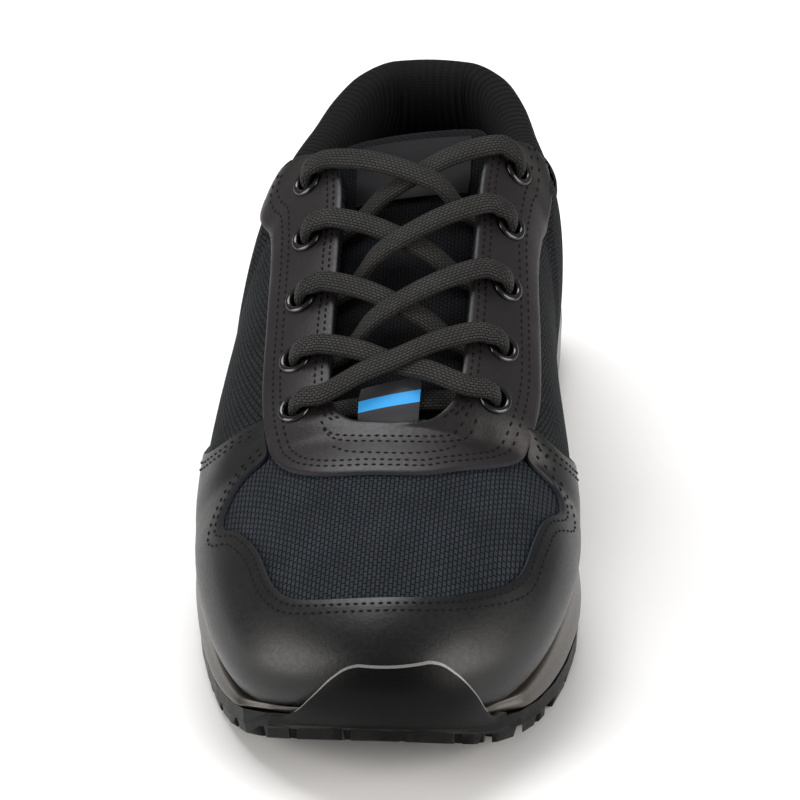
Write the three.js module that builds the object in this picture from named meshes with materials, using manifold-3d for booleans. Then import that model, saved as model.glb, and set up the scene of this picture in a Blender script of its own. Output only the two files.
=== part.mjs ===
// A low lace-up work shoe for the right foot, with a leather toe cap and side pieces over a textile
// upper, five pairs of eyelets, a padded tongue and collar, and a rubber outsole with six-sided lugs.
// Millimetres, +Z up. The toe points along -Y, the inner side of the foot lies towards +X, and the
// shoe stands on the plane z = 0 with its footprint centred on the origin.
import * as THREE from "three";
import { mergeGeometries, mergeVertices } from "three/addons/utils/BufferGeometryUtils.js";
import Module from "manifold-3d";

const wasm = await Module();
wasm.setup();

// Driving sizes of the whole shoe
const LENGTH = 300;
const BALL_WIDTH = 112;
const COLLAR_HEIGHT = 95.5;
const INSTEP_HEIGHT = 118;
const TOE_HEIGHT = 62;
const TOE_SPRING = 20.4;
const HEEL_STACK = 36;

// Moves the middle of the finished footprint onto the origin
const SHIFT_X = -0.25;
const SHIFT_Y = 0.87;

// Walls, layers and clearances
const CLEARANCE = 0.3;
const UPPER_WALL = 2.2;
const OVERLAY_THICKNESS = 1.3;
const UPPER_INSET = 4.2;

// Outsole
const OUTSOLE_EDGE = 8;
const LUG_DEPTH = 3.4;
const LUG_ROOT = 1.2;
const LUG_SPLAY = 0.8;
const LUG_PITCH = 15.2;
const LUG_GROOVE = 2.2;
const BUMPER_HEIGHT = 41;
const BUMPER_THICKNESS = 3.2;
const BUMPER_TIP = 1.7;
const TREAD_SHIFT_X = -3;
const TREAD_SHIFT_Y = 2.5;

// Midsole
const SIDE_BULGE = 0.8;
const TOP_ROUNDING = 1.4;
const TOE_SETBACK = 4.4;

// Insole, tongue, label and tag
const INSOLE_THICKNESS = 4;
const INSOLE_GAP = 0.8;
const TONGUE_THICKNESS = 5;
const TONGUE_EDGE = 1.8;
const LABEL_WIDTH = 36;
const LABEL_THICKNESS = 0.9;
const TAG_WIDTH = 17;
const TAG_THICKNESS = 1;

// Collar padding
const PAD_DEPTH = 30;
const PAD_THICKNESS = 7;
const PAD_ROLL = 2.6;
const PAD_LIP = 5;

// Eyelets and laces
const EYELET_PAIRS = 5;
const EYELET_FROM_EDGE = 10.8;
const EYELET_FLANGE = 5.1;
const EYELET_BORE = 2.9;
const EYELET_BARREL = 3.5;
const EYELET_PROUD = 1.3;
const EYELET_SIDES = 8;
const LACE_WIDTH = 5.6;
const LACE_THICKNESS = 3;
const LACE_CROSSING = 2;
const LACE_OVERLAP = 0.6;
const LACE_UNDER_EDGE = 4.5;
const LACE_OVER_EDGE = 4;
const BAR_UNDER_EDGE = 6;

// How finely the curved surfaces are cut
const STEPS_PER_SECTION = 2;
const SOLE_STEPS = 28;
const SIMPLIFY_WITHIN = 0.1;

// Gives each row of a table its column names.
function table(columns, ...rows) {
  return rows.map((row) => Object.fromEntries(columns.map((name, k) => [name, row[k]])));
}

// A smooth curve through table rows that never swings past them (monotone cubic).
function through(rows, key, column) {
  const x = rows.map((row) => row[key]);
  const y = rows.map((row) => row[column]);
  const span = x.slice(1).map((value, k) => value - x[k]);
  const climb = span.map((width, k) => (y[k + 1] - y[k]) / width);
  const slope = x.map((_, k) => {
    if (k === 0) return climb[0];
    if (k === x.length - 1) return climb[k - 1];
    if (climb[k - 1] * climb[k] <= 0) return 0;
    const before = 2 * span[k] + span[k - 1];
    const after = span[k] + 2 * span[k - 1];
    return (before + after) / (before / climb[k - 1] + after / climb[k]);
  });
  return (at) => {
    let k = x.findIndex((value) => value > at) - 1;
    if (k < -1) k = x.length - 2;
    k = Math.max(0, Math.min(x.length - 2, k));
    const width = span[k];
    const s = (Math.max(x[0], Math.min(x[x.length - 1], at)) - x[k]) / width;
    return (
      y[k] * (1 + 2 * s) * (1 - s) ** 2 +
      width * slope[k] * s * (1 - s) ** 2 +
      y[k + 1] * s * s * (3 - 2 * s) +
      width * slope[k + 1] * s * s * (s - 1)
    );
  };
}

const smooth = (from, to, value) => THREE.MathUtils.smoothstep(value, from, to);
const alongToY = (along) => (0.5 - along) * LENGTH;
const yToAlong = (y) => 0.5 - y / LENGTH;

// Outline of the outsole from the heel (0) to the toe (1). Half-widths and the flare of the midsole
// beyond the outsole are shares of the ball width.
const OUTLINE = table(
  ["along", "lateral", "medial", "lateralFlare", "medialFlare"],
  [0.0, -0.018, 0.018, 0.0, 0.0],
  [0.006, 0.138, 0.188, 0.0, 0.0],
  [0.03, 0.268, 0.299, 0.0, 0.0],
  [0.075, 0.357, 0.362, 0.0, 0.0],
  [0.15, 0.38, 0.375, 0.005, 0.006],
  [0.25, 0.377, 0.371, 0.018, 0.025],
  [0.34, 0.379, 0.326, 0.03, 0.072],
  [0.4, 0.391, 0.311, 0.032, 0.089],
  [0.46, 0.422, 0.346, 0.025, 0.07],
  [0.54, 0.48, 0.42, 0.008, 0.025],
  [0.62, 0.5, 0.479, 0.0, 0.006],
  [0.71, 0.482, 0.506, 0.0, 0.0],
  [0.8, 0.433, 0.477, 0.0, 0.0],
  [0.88, 0.362, 0.412, 0.0, 0.0],
  [0.94, 0.275, 0.33, 0.0, 0.0],
  [0.98, 0.14, 0.228, 0.0, 0.0],
  [1.0, -0.08, 0.08, 0.0, 0.0],
);

// Side view of the sole: lift of its underside as a share of the toe spring, and the height of the
// feather line over the underside as a share of the heel stack.
const SOLE = table(
  ["along", "lift", "stack"],
  [0.0, 0.34, 0.861],
  [0.03, 0.17, 0.92],
  [0.07, 0.055, 0.972],
  [0.12, 0.0, 0.986],
  [0.33, 0.0, 0.917],
  [0.42, 0.055, 0.85],
  [0.5, 0.055, 0.822],
  [0.58, 0.0, 0.82],
  [0.7, 0.0, 0.755],
  [0.78, 0.0, 0.665],
  [0.84, 0.06, 0.515],
  [0.89, 0.205, 0.385],
  [0.94, 0.47, 0.295],
  [0.975, 0.75, 0.29],
  [1.0, 1.0, 0.3],
);

// Middle line of the last, as a share of the ball width towards the inner side.
const AXIS = table(
  ["along", "shift"],
  [0.0, 0.0],
  [0.3, 0.004],
  [0.45, 0.032],
  [0.7, 0.034],
  [0.85, 0.05],
  [1.0, 0.06],
);

// Ribs of the last, from the heel seam (0) round each side to the toe (1). Each starts on the feather
// line and ends at the collar, the throat or the ridge: along is a share of the length, across of the
// ball width, and height of the size in its row. Lean raises the inner side and lowers the outer side
// by a share of the same size. Rise and drop are shares of the rib's own height and flare and reach
// of the ball width, and they bend it at its foot and at its top.
const SECTIONS = table(
  ["station", "along", "across", "size", "height", "lean", "rise", "flare", "reach", "drop"],
  [0.0, 0.037, 0.0, COLLAR_HEIGHT, 1.0, 0.0, 0.36, 0.05, 0.012, 0.35],
  [0.06, 0.041, 0.105, COLLAR_HEIGHT, 0.997, 0.0, 0.36, 0.05, 0.014, 0.35],
  [0.12, 0.063, 0.19, COLLAR_HEIGHT, 0.98, 0.0, 0.36, 0.05, 0.02, 0.35],
  [0.18, 0.112, 0.252, COLLAR_HEIGHT, 0.955, 0.0, 0.36, 0.05, 0.024, 0.35],
  [0.25, 0.178, 0.296, COLLAR_HEIGHT, 0.935, 0.0, 0.36, 0.052, 0.028, 0.35],
  [0.33, 0.255, 0.338, COLLAR_HEIGHT, 0.935, 0.005, 0.38, 0.055, 0.03, 0.33],
  [0.4, 0.325, 0.36, COLLAR_HEIGHT, 0.975, 0.012, 0.4, 0.06, 0.034, 0.3],
  [0.45, 0.378, 0.36, INSTEP_HEIGHT, 0.885, 0.018, 0.42, 0.065, 0.06, 0.22],
  [0.49, 0.405, 0.27, INSTEP_HEIGHT, 0.995, 0.024, 0.44, 0.07, 0.125, 0.1],
  [0.505, 0.422, 0.205, INSTEP_HEIGHT, 1.0, 0.026, 0.44, 0.072, 0.145, 0.075],
  [0.53, 0.468, 0.182, INSTEP_HEIGHT, 0.95, 0.026, 0.44, 0.074, 0.155, 0.065],
  [0.57, 0.548, 0.178, INSTEP_HEIGHT, 0.845, 0.024, 0.44, 0.078, 0.165, 0.065],
  [0.61, 0.628, 0.174, INSTEP_HEIGHT, 0.74, 0.022, 0.44, 0.085, 0.18, 0.07],
  [0.64, 0.678, 0.168, INSTEP_HEIGHT, 0.677, 0.02, 0.44, 0.092, 0.19, 0.07],
  [0.655, 0.702, 0.148, INSTEP_HEIGHT, 0.649, 0.016, 0.44, 0.096, 0.21, 0.06],
  [0.668, 0.717, 0.093, INSTEP_HEIGHT, 0.63, 0.008, 0.44, 0.1, 0.25, 0.045],
  [0.68, 0.722, 0.0, TOE_HEIGHT, 1.19, 0.0, 0.42, 0.11, 0.31, 0.02],
  [0.72, 0.755, 0.0, TOE_HEIGHT, 1.14, 0.0, 0.4, 0.135, 0.31, 0.02],
  [0.76, 0.785, 0.0, TOE_HEIGHT, 1.1, 0.0, 0.38, 0.15, 0.31, 0.03],
  [0.81, 0.817, 0.0, TOE_HEIGHT, 1.062, 0.0, 0.38, 0.155, 0.29, 0.06],
  [0.87, 0.842, 0.0, TOE_HEIGHT, 1.03, 0.0, 0.39, 0.14, 0.25, 0.13],
  [0.935, 0.856, 0.0, TOE_HEIGHT, 1.01, 0.0, 0.42, 0.1, 0.22, 0.19],
  [1.0, 0.86, 0.0, TOE_HEIGHT, 1.002, 0.0, 0.44, 0.075, 0.215, 0.22],
);

// Past this station the two sides of the last meet along the ridge, and the throat is closed
const THROAT_END = 0.68;

// How the last's columns change along each side. A mirrored row before the heel and after the toe
// keeps the surface smooth where the two sides meet.
const sectionValue = {};
for (const column of ["along", "across", "top", "tilt", "rise", "flare", "reach", "drop"]) {
  const rows = SECTIONS.map((row) => ({ ...row, top: row.size * row.height, tilt: row.size * row.lean }));
  const turn = column === "across" ? -1 : 1;
  const before = { station: -rows[1].station, value: turn * rows[1][column] };
  const last = rows[rows.length - 2];
  const after = { station: 2 - last.station, value: turn * last[column] };
  const mirrored = [before, ...rows.map((row) => ({ station: row.station, value: row[column] })), after];
  sectionValue[column] = through(mirrored, "station", "value");
}
const liftAt = through(SOLE, "along", "lift");
const stackAt = through(SOLE, "along", "stack");
const axisAt = through(AXIS, "along", "shift");
const underside = (y) => liftAt(yToAlong(y)) * TOE_SPRING;
const feather = (y) => underside(y) + stackAt(yToAlong(y)) * HEEL_STACK;
const axisX = (y) => axisAt(yToAlong(y)) * BALL_WIDTH;

// One closed curve round the sole, sampled by length from the heel to the toe on each side.
const SAMPLES = 24;
function outline(flare) {
  const lateral = OUTLINE.map(
    (row) =>
      new THREE.Vector3(-(row.lateral + flare * row.lateralFlare) * BALL_WIDTH, alongToY(row.along), 0),
  );
  const medial = OUTLINE.map(
    (row) =>
      new THREE.Vector3((row.medial + flare * row.medialFlare) * BALL_WIDTH, alongToY(row.along), 0),
  );
  const last = OUTLINE.length - 1;
  const curve = new THREE.CatmullRomCurve3(
    [...lateral, ...medial.slice(1, last).reverse()],
    true,
    "centripetal",
  );
  const points = curve.getPoints(2 * last * SAMPLES).slice(0, -1);
  const toe = last * SAMPLES;
  const sides = {
    lateral: points.slice(0, toe + 1),
    medial: [points[0], ...points.slice(toe).reverse()],
  };
  const walk = (side) => {
    const reached = [0];
    for (let k = 1; k < side.length; k++) reached.push(reached[k - 1] + side[k].distanceTo(side[k - 1]));
    return (station) => {
      const wanted = Math.abs(station) * reached[reached.length - 1];
      let k = reached.findIndex((value) => value > wanted) - 1;
      if (k < 0) k = side.length - 2;
      const share = (wanted - reached[k]) / (reached[k + 1] - reached[k]);
      return side[k].clone().lerp(side[k + 1], share);
    };
  };
  const lateralAt = walk(sides.lateral);
  const medialAt = walk(sides.medial);
  return (u) => (u < 0 ? medialAt(-u) : lateralAt(u));
}

// Stations run from -1 (toe) along the inner side to 0 (heel), and along the outer side to 1 (toe).
const wrap = (u) => (u > 1 ? u - 2 : u <= -1 ? u + 2 : u);
const NUDGE = 0.004;
function outwards(curve, u) {
  const ahead = curve(wrap(u + NUDGE));
  const step = ahead.sub(curve(wrap(u - NUDGE)));
  return new THREE.Vector3(step.y, -step.x, 0).normalize();
}
const treadLine = outline(0);
const flaredLine = outline(1);
function inset(curve, u, distance) {
  return curve(wrap(u)).addScaledVector(outwards(curve, u), -distance);
}

// The last's surface: r runs from the feather line (0) to the top of the rib (1).
function lastPoint(u, r) {
  const place = wrap(u);
  const station = Math.abs(place);
  const side = place < 0 ? 1 : -1;
  const foot = inset(flaredLine, place, UPPER_INSET);
  foot.z = feather(foot.y) + 1.5 * CLEARANCE;
  const out = outwards(flaredLine, place);
  const y = alongToY(sectionValue.along(station));
  const across = sectionValue.across(station) * BALL_WIDTH;
  const topZ = sectionValue.top(station) + side * sectionValue.tilt(station);
  const top = new THREE.Vector3(axisX(y) + side * across, y, topZ);
  const height = top.z - foot.z;
  const low = foot.clone().addScaledVector(out, sectionValue.flare(station) * BALL_WIDTH);
  low.z += sectionValue.rise(station) * height;
  const high = top.clone().addScaledVector(out, sectionValue.reach(station) * BALL_WIDTH);
  high.z -= sectionValue.drop(station) * height;
  const q = 1 - r;
  return foot
    .multiplyScalar(q ** 3)
    .addScaledVector(low, 3 * q * q * r)
    .addScaledVector(high, 3 * q * r * r)
    .addScaledVector(top, r ** 3);
}
const POLE = 0.97;
function oneSidedNormal(u, r) {
  const at = Math.min(r, POLE);
  const round = lastPoint(u + NUDGE, at).sub(lastPoint(u - NUDGE, at));
  const up = lastPoint(u, Math.min(at + NUDGE, 1)).sub(lastPoint(u, Math.max(at - NUDGE, 0)));
  return round.cross(up).normalize();
}
function lastNormal(u, r) {
  const normal = oneSidedNormal(u, r);
  const onRidge = r === 1 && Math.abs(u) >= THROAT_END;
  return onRidge ? normal.add(oneSidedNormal(-u, r)).normalize() : normal;
}
function onLast(u, r, offset) {
  return lastPoint(u, r).addScaledVector(lastNormal(u, r), offset);
}

// The r that lies a distance in from the top of the rib at u.
const RIB_STEPS = 60;
function belowTop(u, distance) {
  let gone = 0;
  let before = lastPoint(u, 1);
  for (let k = RIB_STEPS - 1; k > 0; k--) {
    const point = lastPoint(u, k / RIB_STEPS);
    const step = point.distanceTo(before);
    if (gone + step >= distance) return (k + 1 - (distance - gone) / step) / RIB_STEPS;
    gone += step;
    before = point;
  }
  return 0;
}

// Turns points and faces into a solid, and a solid back into a geometry.
function solidOf(points, faces) {
  const position = new Float32Array(points.flatMap((p) => [p.x, p.y, p.z]));
  const geometry = new THREE.BufferGeometry();
  geometry.setAttribute("position", new THREE.BufferAttribute(position, 3));
  geometry.setIndex(faces.flat());
  return fromGeometry(geometry);
}
const MERGE_DISTANCE = 1e-4;
function fromGeometry(geometry) {
  const bare = geometry.clone();
  bare.deleteAttribute("normal");
  bare.deleteAttribute("uv");
  const merged = mergeVertices(bare, MERGE_DISTANCE);
  const index = merged.index.array;
  const kept = [];
  for (let k = 0; k < index.length; k += 3) {
    const [a, b, c] = index.slice(k, k + 3);
    if (a !== b && b !== c && c !== a) kept.push(a, b, c);
  }
  const mesh = new wasm.Mesh({
    numProp: 3,
    vertProperties: merged.attributes.position.array,
    triVerts: new Uint32Array(kept),
  });
  return new wasm.Manifold(mesh);
}
function toGeometry(solid) {
  const { vertProperties, triVerts, numProp } = solid.getMesh();
  const geometry = new THREE.BufferGeometry();
  geometry.setAttribute("position", new THREE.BufferAttribute(new Float32Array(vertProperties), numProp));
  geometry.setIndex(new THREE.BufferAttribute(new Uint32Array(triVerts), 1));
  return geometry;
}

// Adds four-sided faces, whose corners are given clockwise as seen from outside.
const quadsInto = (faces) => (a, b, c, d) => faces.push([a, d, c], [a, c, b]);

// Solid between rings of equal length, each a closed loop of points. The first and last ring are
// closed by rungs from each point to the one facing it.
const acrossLoop = (i, count) => (count - i) % count;
const acrossStrip = (i, count) => count - 1 - i;
function ringSolid(rings, across = acrossLoop) {
  const count = rings[0].length;
  const points = rings.flat();
  const faces = [];
  const quad = quadsInto(faces);
  for (let k = 0; k + 1 < rings.length; k++) {
    for (let i = 0; i < count; i++) {
      const next = (i + 1) % count;
      quad(k * count + i, (k + 1) * count + i, (k + 1) * count + next, k * count + next);
    }
  }
  const top = (rings.length - 1) * count;
  for (let i = 0; i + 1 <= across(i + 1, count); i++) {
    const facing = across(i, count);
    const facingNext = across(i + 1, count);
    quad(i, i + 1, facingNext, facing);
    quad(top + facing, top + facingNext, top + i + 1, top + i);
  }
  return solidOf(points, faces);
}

// Stations of the ribs, with the spaces between table rows cut into equal steps.
function stationsBetween(from, to) {
  const marks = SECTIONS.map((row) => row.station).filter((s) => s > from && s < to);
  const ends = [from, ...marks, to];
  const steps = ends.slice(1).flatMap((end, k) => {
    const start = ends[k];
    const step = (end - start) / STEPS_PER_SECTION;
    return Array.from({ length: STEPS_PER_SECTION }, (_, n) => start + step * n);
  });
  return [...steps, to];
}
const roundTrip = (side) => [...side, ...side.slice(1, -1).reverse().map((s) => -s)];
const sideStations = stationsBetween(0, 1);
const roundStations = roundTrip(sideStations);

// Stations of the sole's rings lie closer together at the heel and the toe.
const EVENNESS = 0.6;
function soleStation(_, k) {
  const share = k / SOLE_STEPS;
  return EVENNESS * share + ((1 - EVENNESS) * (1 - Math.cos(Math.PI * share))) / 2;
}
const soleStations = roundTrip(Array.from({ length: SOLE_STEPS + 1 }, soleStation));

// Ring of points round the sole. Distances may depend on the station.
function soleRing(curve, distance, height) {
  return soleStations.map((u) => {
    const point = inset(curve, u, distance(Math.abs(u)));
    point.z = height(point.y, Math.abs(u));
    return point;
  });
}

// A wall all round the last, between two offsets of it. Its lower edge may start above the foot.
const ROWS_UP = [0, 0.12, 0.32, 0.58, 0.82, 1];
function lastLayer(inner, outer, foot) {
  const points = [];
  const faces = [];
  const quad = quadsInto(faces);
  const rows = ROWS_UP.length - 1;
  const count = roundStations.length;
  const at = (i, j, layer) => ((i % count) * (rows + 1) + j) * 2 + layer;
  for (const u of roundStations) {
    for (const row of ROWS_UP) {
      const r = Math.max(row, foot);
      points.push(onLast(u, r, inner), onLast(u, r, outer));
    }
  }
  for (let i = 0; i < count; i++) {
    for (let j = 0; j < rows; j++) {
      quad(at(i, j, 1), at(i, j + 1, 1), at(i + 1, j + 1, 1), at(i + 1, j, 1));
      quad(at(i, j, 0), at(i + 1, j, 0), at(i + 1, j + 1, 0), at(i, j + 1, 0));
    }
    quad(at(i, 0, 0), at(i, 0, 1), at(i + 1, 0, 1), at(i + 1, 0, 0));
    const next = roundStations[(i + 1) % count];
    const closedRidge = [roundStations[i], next].every((u) => Math.abs(u) >= THROAT_END);
    if (!closedRidge) quad(at(i, rows, 1), at(i, rows, 0), at(i + 1, rows, 0), at(i + 1, rows, 1));
  }
  return solidOf(points, faces);
}

const shoe = new THREE.Group();
const finish = {
  rubber: { color: 0x17181a, roughness: 0.75, metalness: 0 },
  foam: { color: 0x1d1e20, roughness: 0.55, metalness: 0 },
  textile: { color: 0x101216, roughness: 0.95, metalness: 0 },
  leather: { color: 0x1c1c1e, roughness: 0.45, metalness: 0 },
  lining: { color: 0x131519, roughness: 1, metalness: 0 },
  enamel: { color: 0x0b0b0c, roughness: 0.2, metalness: 0.6 },
  lace: { color: 0x141517, roughness: 0.9, metalness: 0 },
  label: { color: 0x26272a, roughness: 0.6, metalness: 0 },
};
function place(name, solid, look) {
  const light = solid.simplify(SIMPLIFY_WITHIN);
  const geometry = toGeometry(light).translate(SHIFT_X, SHIFT_Y, 0);
  const mesh = new THREE.Mesh(geometry, new THREE.MeshStandardMaterial(finish[look]));
  mesh.name = name;
  shoe.add(mesh);
}

// Outsole: a rubber slab that follows the underside, six-sided lugs under it and a bumper at the toe
const HEX_SIDES = 6;
const HEX_TALL = 90;
function lugColumns() {
  const rowGap = LUG_PITCH * Math.cos(Math.PI / 6);
  const radius = (LUG_PITCH - LUG_GROOVE) / 2 / Math.cos(Math.PI / 6);
  const corner = (k) => new THREE.Vector2(0, radius).rotateAround(new THREE.Vector2(), (k * Math.PI) / 3);
  const hexagon = new THREE.Shape(Array.from({ length: HEX_SIDES }, (_, k) => corner(k)));
  const column = new THREE.ExtrudeGeometry(hexagon, { depth: HEX_TALL, bevelEnabled: false });
  const rows = Math.ceil(LENGTH / rowGap / 2) + 1;
  const perRow = Math.ceil(BALL_WIDTH / LUG_PITCH / 2) + 1;
  const columns = [];
  for (let row = -rows; row <= rows; row++) {
    for (let k = -perRow; k <= perRow; k++) {
      const shift = row % 2 === 0 ? 0 : LUG_PITCH / 2;
      const x = k * LUG_PITCH + shift + TREAD_SHIFT_X;
      const y = row * rowGap + TREAD_SHIFT_Y;
      columns.push(column.clone().translate(x, y, -HEX_TALL / 2));
    }
  }
  return fromGeometry(mergeGeometries(columns));
}
function outsoleSlab(fromLift, toLift, splay) {
  const splayed = () => splay;
  const none = () => 0;
  return ringSolid([
    soleRing(treadLine, splayed, (y) => underside(y) + fromLift),
    soleRing(treadLine, none, (y) => underside(y) + toLift),
  ]);
}
// The bumper's top edge falls from the toe to the outsole on both sides.
const BUMPER_CENTRE = 1.0055;
const BUMPER_FLAT = 0.028;
const BUMPER_END = 0.092;
const BUMPER_ROWS = 3;
const BUMPER_GAP = OVERLAY_THICKNESS + 4 * CLEARANCE;
function bumper() {
  const rise = (u) => 1 - smooth(BUMPER_FLAT, BUMPER_END, Math.abs(u - BUMPER_CENTRE));
  const base = (u) => {
    const edge = inset(treadLine, u, 0);
    return underside(edge.y) + OUTSOLE_EDGE;
  };
  const stations = [];
  const steps = 16;
  for (let k = 0; k <= steps; k++) stations.push(BUMPER_CENTRE + BUMPER_END * ((2 * k) / steps - 1));
  const rAt = (u, height) => {
    let low = 0;
    let high = 1;
    for (let k = 0; k < 30; k++) {
      const middle = (low + high) / 2;
      if (lastPoint(u, middle).z < height) low = middle;
      else high = middle;
    }
    return low;
  };
  const points = [];
  const faces = [];
  const perStation = 2 * (BUMPER_ROWS + 2);
  for (const raw of stations) {
    const u = wrap(raw);
    const bottom = inset(treadLine, u, 0);
    bottom.z = base(u) - OUTSOLE_EDGE / 2;
    const innerBottom = inset(treadLine, u, BUMPER_THICKNESS);
    innerBottom.z = bottom.z;
    const foot = lastPoint(u, 0).z;
    const top = Math.max(foot + 0.5, foot + (BUMPER_HEIGHT - foot) * rise(raw));
    const outside = [bottom];
    const inside = [innerBottom];
    for (let j = 0; j <= BUMPER_ROWS; j++) {
      const share = j / BUMPER_ROWS;
      const r = rAt(u, foot + (top - foot) * share);
      const thickness = BUMPER_THICKNESS + (BUMPER_TIP - BUMPER_THICKNESS) * share;
      inside.push(onLast(u, r, BUMPER_GAP));
      outside.push(onLast(u, r, BUMPER_GAP + thickness));
    }
    points.push(...outside, ...inside.reverse());
  }
  const quad = quadsInto(faces);
  for (let i = 0; i + 1 < stations.length; i++) {
    for (let k = 0; k < perStation; k++) {
      const next = (k + 1) % perStation;
      const here = i * perStation;
      const there = here + perStation;
      quad(here + k, here + next, there + next, there + k);
    }
  }
  const end = (stations.length - 1) * perStation;
  for (let k = 0; k + 1 < perStation / 2; k++) {
    const far = perStation - 1 - k;
    quad(k, far, far - 1, k + 1);
    quad(end + k, end + k + 1, end + far - 1, end + far);
  }
  return solidOf(points, faces);
}
const lugs = outsoleSlab(0, LUG_DEPTH + LUG_ROOT, LUG_SPLAY).intersect(lugColumns());
place("outsole", outsoleSlab(LUG_DEPTH, OUTSOLE_EDGE, 0).add(lugs).add(bumper()), "rubber");

// Midsole: bulging foam sides with a rounded top edge, set back behind the toe bumper
const setback = (station) => TOE_SETBACK * smooth(0.85, 0.89, station);
const midsoleTopEdge = (station) => TOP_ROUNDING + 0.8 * setback(station);
function midsole() {
  const bottom = (y) => underside(y) + OUTSOLE_EDGE - CLEARANCE;
  const between = (share) => (y) => bottom(y) + (feather(y) - bottom(y)) * share;
  const bulge = (s) => SIDE_BULGE * (1 - smooth(0.85, 0.93, s));
  return ringSolid([
    soleRing(treadLine, (s) => 1 + setback(s), between(0)),
    soleRing(outline(0.3), (s) => 0.9 * setback(s) - bulge(s), between(0.3)),
    soleRing(outline(0.8), (s) => 0.3 + 0.85 * setback(s), between(0.78)),
    soleRing(flaredLine, midsoleTopEdge, between(1)),
  ]);
}
// Everything above a sole layer is trimmed to its top face plus the clearance.
function aboveOutsole(solid) {
  const top = (drop) => (y) => underside(y) + OUTSOLE_EDGE + CLEARANCE - drop;
  const edge = () => 0;
  const rings = [soleRing(treadLine, edge, top(OUTSOLE_EDGE)), soleRing(treadLine, edge, top(0))];
  return solid.subtract(ringSolid(rings));
}
const TRIM_REACH = 12;
function aboveMidsole(solid) {
  const inner = soleRing(flaredLine, midsoleTopEdge, (y) => feather(y) + CLEARANCE);
  const outer = inner.map((point, k) => {
    return point.clone().addScaledVector(outwards(flaredLine, soleStations[k]), TRIM_REACH);
  });
  const below = outer.map((point) => point.clone().setZ(point.z - TRIM_REACH));
  return solid.subtract(ringSolid([below, outer, inner]));
}
place("midsole", aboveOutsole(midsole()), "foam");

// Insole: a flat footbed inside the foot of the upper
function insole() {
  const edge = () => UPPER_INSET + UPPER_WALL + INSOLE_GAP;
  const rounded = () => edge() + 1;
  return ringSolid([
    soleRing(flaredLine, edge, (y) => feather(y) - CLEARANCE),
    soleRing(flaredLine, edge, (y) => feather(y) + INSOLE_THICKNESS - 1),
    soleRing(flaredLine, rounded, (y) => feather(y) + INSOLE_THICKNESS),
  ]);
}
place("insole", aboveMidsole(insole()), "lining");

// Eyelet places: evenly along the throat, a set distance in from its edge
const FIRST_EYELET = 0.648;
const LAST_EYELET = 0.51;
const eyeletStation = (pair) => FIRST_EYELET + ((LAST_EYELET - FIRST_EYELET) * pair) / (EYELET_PAIRS - 1);
const eyelets = [];
for (let pair = 0; pair < EYELET_PAIRS; pair++) {
  const station = eyeletStation(pair);
  for (const side of [1, -1]) {
    const u = side * station;
    const r = belowTop(u, EYELET_FROM_EDGE);
    const centre = onLast(u, r, CLEARANCE + OVERLAY_THICKNESS);
    eyelets.push({ pair, side, centre, normal: lastNormal(u, r) });
  }
}
function alongNormal(geometry, { centre, normal }) {
  const turn = new THREE.Quaternion().setFromUnitVectors(new THREE.Vector3(0, 1, 0), normal);
  return geometry.applyQuaternion(turn).translate(centre.x, centre.y, centre.z);
}
const HOLE_DEPTH = 14;
function punch(solid) {
  for (const eyelet of eyelets) {
    const radius = EYELET_BARREL + CLEARANCE;
    const drill = new THREE.CylinderGeometry(radius, radius, HOLE_DEPTH, EYELET_SIDES);
    solid = solid.subtract(fromGeometry(alongNormal(drill, eyelet)));
  }
  return solid;
}

// Upper: one textile wall from the feather line to the collar, the throat and the closed toe
place("upper", punch(lastLayer(-UPPER_WALL, 0, 0)), "textile");

// Overlays are cut from one layer that lies on the upper with a hair of clearance and starts a little
// above its foot. A plan cutter stands upright over an outline, a side cutter runs across the shoe.
const OVERLAY_FOOT = 0.035;
const overlayLayer = lastLayer(CLEARANCE, CLEARANCE + OVERLAY_THICKNESS, OVERLAY_FOOT);
const CUTTER_TALL = 200;
function planCutter(points) {
  const shape = new THREE.Shape(points);
  const options = { depth: CUTTER_TALL, bevelEnabled: false };
  return fromGeometry(new THREE.ExtrudeGeometry(shape, options).translate(0, 0, -CUTTER_TALL / 4));
}
function sideCutter(points) {
  const shape = new THREE.Shape(points);
  const options = { depth: CUTTER_TALL, bevelEnabled: false };
  const geometry = new THREE.ExtrudeGeometry(shape, options).translate(0, 0, -CUTTER_TALL / 2);
  geometry.rotateX(Math.PI / 2).rotateZ(Math.PI / 2);
  return fromGeometry(geometry);
}
const CURVE_STEPS = 2;
function curveThrough(points) {
  const last = points.length - 1;
  return new THREE.SplineCurve(points).getPoints(last * CURVE_STEPS);
}

// Outer edge of the eyestay on each side, in shares of the ball width
const EYESTAY_EDGE = table(
  ["along", "lateral", "medial"],
  [0.424, 0.335, 0.36],
  [0.5, 0.327, 0.362],
  [0.58, 0.319, 0.38],
  [0.65, 0.311, 0.391],
  [0.695, 0.297, 0.378],
  [0.725, 0.277, 0.345],
  [0.752, 0.245, 0.28],
  [0.773, 0.192, 0.192],
  [0.786, 0.09, 0.105],
);
function eyestayOutline(gap) {
  const lateral = EYESTAY_EDGE.map(
    (row) => new THREE.Vector2(-row.lateral * BALL_WIDTH - gap, alongToY(row.along) - gap / 2),
  );
  const medial = EYESTAY_EDGE.map(
    (row) => new THREE.Vector2(row.medial * BALL_WIDTH + gap, alongToY(row.along) - gap / 2),
  );
  return curveThrough([...lateral, ...medial.reverse()]);
}
const eyestay = overlayLayer.intersect(planCutter(eyestayOutline(0)));
place("eyestay", punch(eyestay), "leather");

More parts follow.
